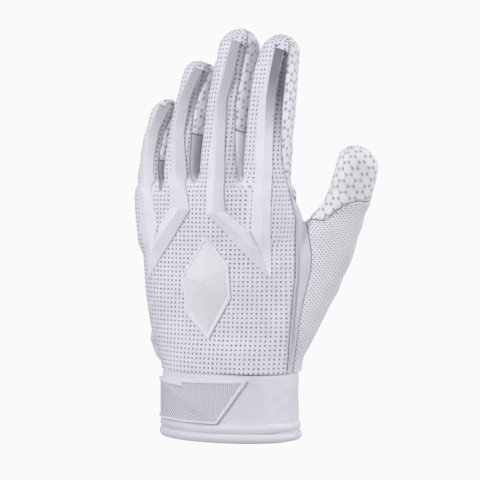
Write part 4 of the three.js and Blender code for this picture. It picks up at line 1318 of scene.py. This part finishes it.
def back_cloth():
    """White stretch cloth with a square grid of small open holes, darkened by painted shade on the flanks
    beside the ridges.
    """
    g = Graph("back_cloth", WHITE, 0.7, 0.1, 0.3)
    u, v = g.cloth()
    du, column = u.cell(DOT_ACROSS)
    dv, row = v.cell(DOT_UP)
    away = (du * du + dv * dv) ** 0.5
    edge = g.random(column, row) * 0.12 + 0.37
    dotted = 1 - g.value("plain")
    hole = (1 - (away - edge).ramp(-0.14, 0.16)) * dotted
    rim = abs(away - 0.72).ramp(0.0, 0.3, 1.0, 0.0) * dotted
    # painted shade darkens the cloth and its holes on the flanks beside the ridges
    shade = g.value("shade")
    tone = g.blend(shade, g.drift(60, (0.81, 0.81, 0.86), (0.87, 0.87, 0.91)), PAINTED_SHADE_GREY)
    dot = g.blend(shade, DOT_GREY, (0.03, 0.03, 0.04))
    height = rim * 0.25 - hole + fine_weave(u, v) * 0.16
    return g.finish(seam_shade(g, g.blend(hole * 0.85, tone, dot)), g.bump(height, 0.3))


def grip_cloth():
    """Tacky grip print: six-sided white tiles with small grey three-cornered hollows between them, with
    painted shade deepest in the hollows' middles.
    """
    g = Graph("grip_cloth", WHITE, 0.45)
    u, v = g.cloth()
    v = u * 0.2 + v
    wave = 4 * math.pi / math.sqrt(3) / GRIP_PITCH
    stripes = (u * (wave * math.sqrt(3) / 2)).cosine()
    tile = (v * wave).cosine() + (v * (wave / 2)).cosine() * stripes * 2.0
    hollow = tile.ramp(-1.16, -1.03, 1.0, 0.0)
    # painted shade, darker than the grey print, in the middle of each hollow
    deep = tile.ramp(-1.45, -1.12, 1.0, 0.0)
    colour = g.blend(hollow * 0.7, g.drift(55, (0.87, 0.87, 0.89), (0.92, 0.92, 0.93)), (0.58, 0.58, 0.62))
    colour = g.blend(deep * 0.45, colour, (0.32, 0.32, 0.36))
    height = 1 - hollow + fine_weave(u, v, 0.55) * 0.12
    return g.finish(seam_shade(g, colour), g.bump(height, 0.45), hollow.ramp(0.0, 1.0, 0.42, 0.75))


def mesh_cloth():
    """Open knitted mesh: rows of small slanted holes."""
    g = Graph("mesh_cloth", WHITE, 0.75, 0.15, 0.3)
    u, v = g.cloth()
    dv, row = (v * 0.88 - u * 0.47).cell(MESH_UP)
    half_cell = g.math("MODULO", abs(row), 2.0) * (MESH_ACROSS / 2)
    du, _ = (u * 0.88 + v * 0.47 + half_cell).cell(MESH_ACROSS)
    lean = dv * 0.5 + du
    hole = 1 - ((lean * lean * 1.3 + dv * dv * 2.6) ** 0.5).ramp(0.38, 0.6)
    tone = g.drift(45, (0.88, 0.88, 0.9), (0.93, 0.93, 0.94))
    height = fine_weave(u, v, 0.5) * 0.2 - hole
    return g.finish(seam_shade(g, g.blend(hole * 0.8, tone, HOLE_AND_GROOVE_SHADE_GREY)), g.bump(height, 0.3))


def knit_cloth(name, colour, roughness):
    """Smooth fine knit with thin upright ribs, darkened by painted shade on some panels."""
    g = Graph(name, colour, roughness, 0.2, 0.35)
    u, v = g.cloth()
    rib = u.wave(0.75) + (v + u * 0.5).wave(0.6) * 0.5
    tone = g.blend(rib * 0.06, g.drift(50, times(colour, 0.94), times(colour, 1.05)), times(colour, 0.8))
    # painted shade darkens the panel by its given amount
    tone = g.blend(g.value("shade"), tone, (0.2, 0.2, 0.23))
    return g.finish(tone, g.bump(rib + g.noise(1500, 2.0) * 0.5, 0.07))


def satin_cloth(name, colour):
    """Dense stretch cloth of the cuff, with a soft sheen and fine cross ribs."""
    g = Graph(name, colour, 0.48, 0.3, 0.4)
    u, v = g.cloth()
    height = v.wave(0.8) + u.wave(1.1) * 0.4 + g.noise(900, 2.0) * 0.6
    return g.finish(g.drift(28, times(colour, 0.95), times(colour, 1.04), 4.0), g.bump(height, 0.018))


def rubber(name, colour, roughness):
    """Moulded rubber with a faint orange-peel grain, slightly worn tone, and painted shade on the ridges'
    shaded sides.
    """
    g = Graph(name, colour, roughness)
    # painted shade darkens the ridges' shaded sides toward grey
    tone = g.blend(g.value("shade"), g.drift(35, times(colour, 0.96), times(colour, 1.03), 4.0), PAINTED_SHADE_GREY)
    rough = g.noise(120).ramp(0.2, 0.8, roughness - 0.06, roughness + 0.08)
    return g.finish(tone, g.bump(g.noise(1400, 2.0), 0.02), rough)


def strap_rubber(colour):
    """Moulded rubber with fine ribs: slanting below a falling line, upright above it, with painted shade in
    the grooves.
    """
    g = Graph("strap_rubber", colour, 0.45)
    u, v = g.cloth()
    line = g.math("MINIMUM", u * -0.09 + 25.6, u * -0.5 + 12.4)
    below = (v - line).ramp(-0.05, 0.05, 1.0, 0.0)
    upright = (v * 0.06 + u).wave(UPRIGHT_PITCH)
    slanted = (u * 0.74 - v * 0.67).wave(SLANTED_PITCH)
    ribs = below * slanted + (1 - below) * upright
    groove = (1 - ribs) ** 1.6 * (1 - g.value("plain"))
    tone = g.drift(35, times(colour, 0.97), colour, 4.0)
    # painted shade in the rib grooves, stronger under the slanting ribs
    return g.finish(g.blend(groove * (below * 0.3 + 0.4), tone, HOLE_AND_GROOVE_SHADE_GREY), g.bump(1 - groove, 0.3))


def thread(name, colour):
    """Twisted sewing thread."""
    g = Graph(name, colour, 0.6, 0.2, 0.3)
    u, v = g.cloth()
    twist = (u + v * 1.6).wave(0.45)
    return g.finish(g.blend(twist, times(colour, 0.85), colour), g.bump(twist, 0.06))


def make_looks():
    return {
        "back_cloth": back_cloth(),
        "grip_cloth": grip_cloth(),
        "mesh_cloth": mesh_cloth(),
        "gusset_cloth": knit_cloth("gusset_cloth", (0.93, 0.93, 0.97), 0.62),
        "side_cloth": knit_cloth("side_cloth", (0.71, 0.71, 0.76), 0.55),
        "tab_cloth": knit_cloth("tab_cloth", (0.72, 0.72, 0.75), 0.6),
        "piping_cord": thread("piping_cord", (0.8, 0.8, 0.83)),
        "thread": thread("thread", (0.78, 0.78, 0.8)),
        "cuff_cloth": satin_cloth("cuff_cloth", (0.8, 0.8, 0.84)),
        "hem_cloth": satin_cloth("hem_cloth", (0.78, 0.78, 0.81)),
        "moulded_rubber": rubber("moulded_rubber", (0.87, 0.87, 0.9), 0.42),
        "moulded_pad": rubber("moulded_pad", (0.86, 0.86, 0.87), 0.4),
        "strap_rubber": strap_rubber((0.88, 0.88, 0.91)),
    }


# Studio


TARGET = (4.5, 6.0, 112.0)
CAMERA_RISE = 2.0
CAMERA_AWAY = 900.0
LENS = 118.4
PALE = (0.955, 0.955, 0.965)
# Lights: turn and rise in degrees, metres away, metres across, watts
LIGHTS = {"key": (-23, 20, 1.3, 0.28, 7.3), "fill": (100, 8, 1.5, 0.8, 10), "top": (10, 60, 1.5, 0.8, 2.5),
          "back_rim": (170, 40, 1.5, 0.9, 3)}


def place_round(name, data, turn, rise, away):
    """Links a camera or light some metres from the target and aims it there."""
    thing = bpy.data.objects.new(name, data)
    bpy.context.scene.collection.objects.link(thing)
    a, e = math.radians(turn), math.radians(rise)
    ahead = Vector((math.sin(a) * math.cos(e), -math.cos(a) * math.cos(e), math.sin(e)))
    thing.location = Vector(TARGET) * MM + ahead * away
    thing.rotation_mode = "QUATERNION"
    thing.rotation_quaternion = (-ahead).to_track_quat("-Z", "Y")
    return thing


def make_camera():
    data = bpy.data.cameras.new("camera")
    data.lens = LENS
    data.sensor_width = 36.0
    data.clip_start, data.clip_end = 0.05, 60
    bpy.context.scene.camera = place_round("camera", data, CAMERA_TURN, CAMERA_RISE, CAMERA_AWAY * MM)


def make_lights():
    for name, (turn, rise, away, size, power) in LIGHTS.items():
        data = bpy.data.lights.new(name, "AREA")
        data.shape = "DISK"
        data.size = size
        data.energy = power
        place_round(name, data, turn, rise, away)


def make_world():
    """A pale background for the camera, and a softer, bluer light for the glove."""
    world = bpy.data.worlds.new("studio")
    bpy.context.scene.world = world
    world.use_nodes = True
    nodes, links = world.node_tree.nodes, world.node_tree.links
    seen, lit = nodes["Background"], nodes.new("ShaderNodeBackground")
    for background, colour, strength in ((seen, PALE, 1.0), (lit, (0.9, 0.905, 1.0), 0.44)):
        background.inputs["Color"].default_value = (*colour, 1)
        background.inputs["Strength"].default_value = strength
    path, choose = nodes.new("ShaderNodeLightPath"), nodes.new("ShaderNodeMixShader")
    links.new(path.outputs["Is Camera Ray"], choose.inputs[0])
    links.new(lit.outputs[0], choose.inputs[1])
    links.new(seen.outputs[0], choose.inputs[2])
    links.new(choose.outputs[0], nodes["World Output"].inputs["Surface"])


def make_floor():
    """A wide pale floor far enough below that the held-up glove casts nothing on it."""
    levels = ((2400.0, -660.0), (2400.0, -622.0), (2390.0, -620.0), (1200.0, -620.0), (300.0, -620.0))
    rings = [[(reach * math.cos(a), reach * math.sin(a), z) for a in circle(96)] for reach, z in levels]
    g = Graph("pale_floor", PALE, 0.9)
    tone = g.drift(3, PALE, (0.95, 0.95, 0.96))
    g.put(g.shader.inputs["Emission Color"], tone)
    g.shader.inputs["Emission Strength"].default_value = 0.6
    floor = make_object("floor", g.finish(tone), *solid(np.array(rings)), sharp=180)
    floor.visible_diffuse = False
    floor.visible_glossy = False


def main():
    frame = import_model()
    make_camera()
    looks = make_looks()
    pieces = {}
    for build in (make_panels, make_ridges, make_pad, make_piping, make_stitches, make_cuff, make_strap,
                  make_tab):
        pieces.update(build(looks))
    for node, piece in pieces.items():
        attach(piece, "root")
        if node in frame["nodes"]:
            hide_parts(node)
    make_world()
    make_floor()
    make_lights()
    bpy.context.scene.view_settings.view_transform = "Standard"


main()
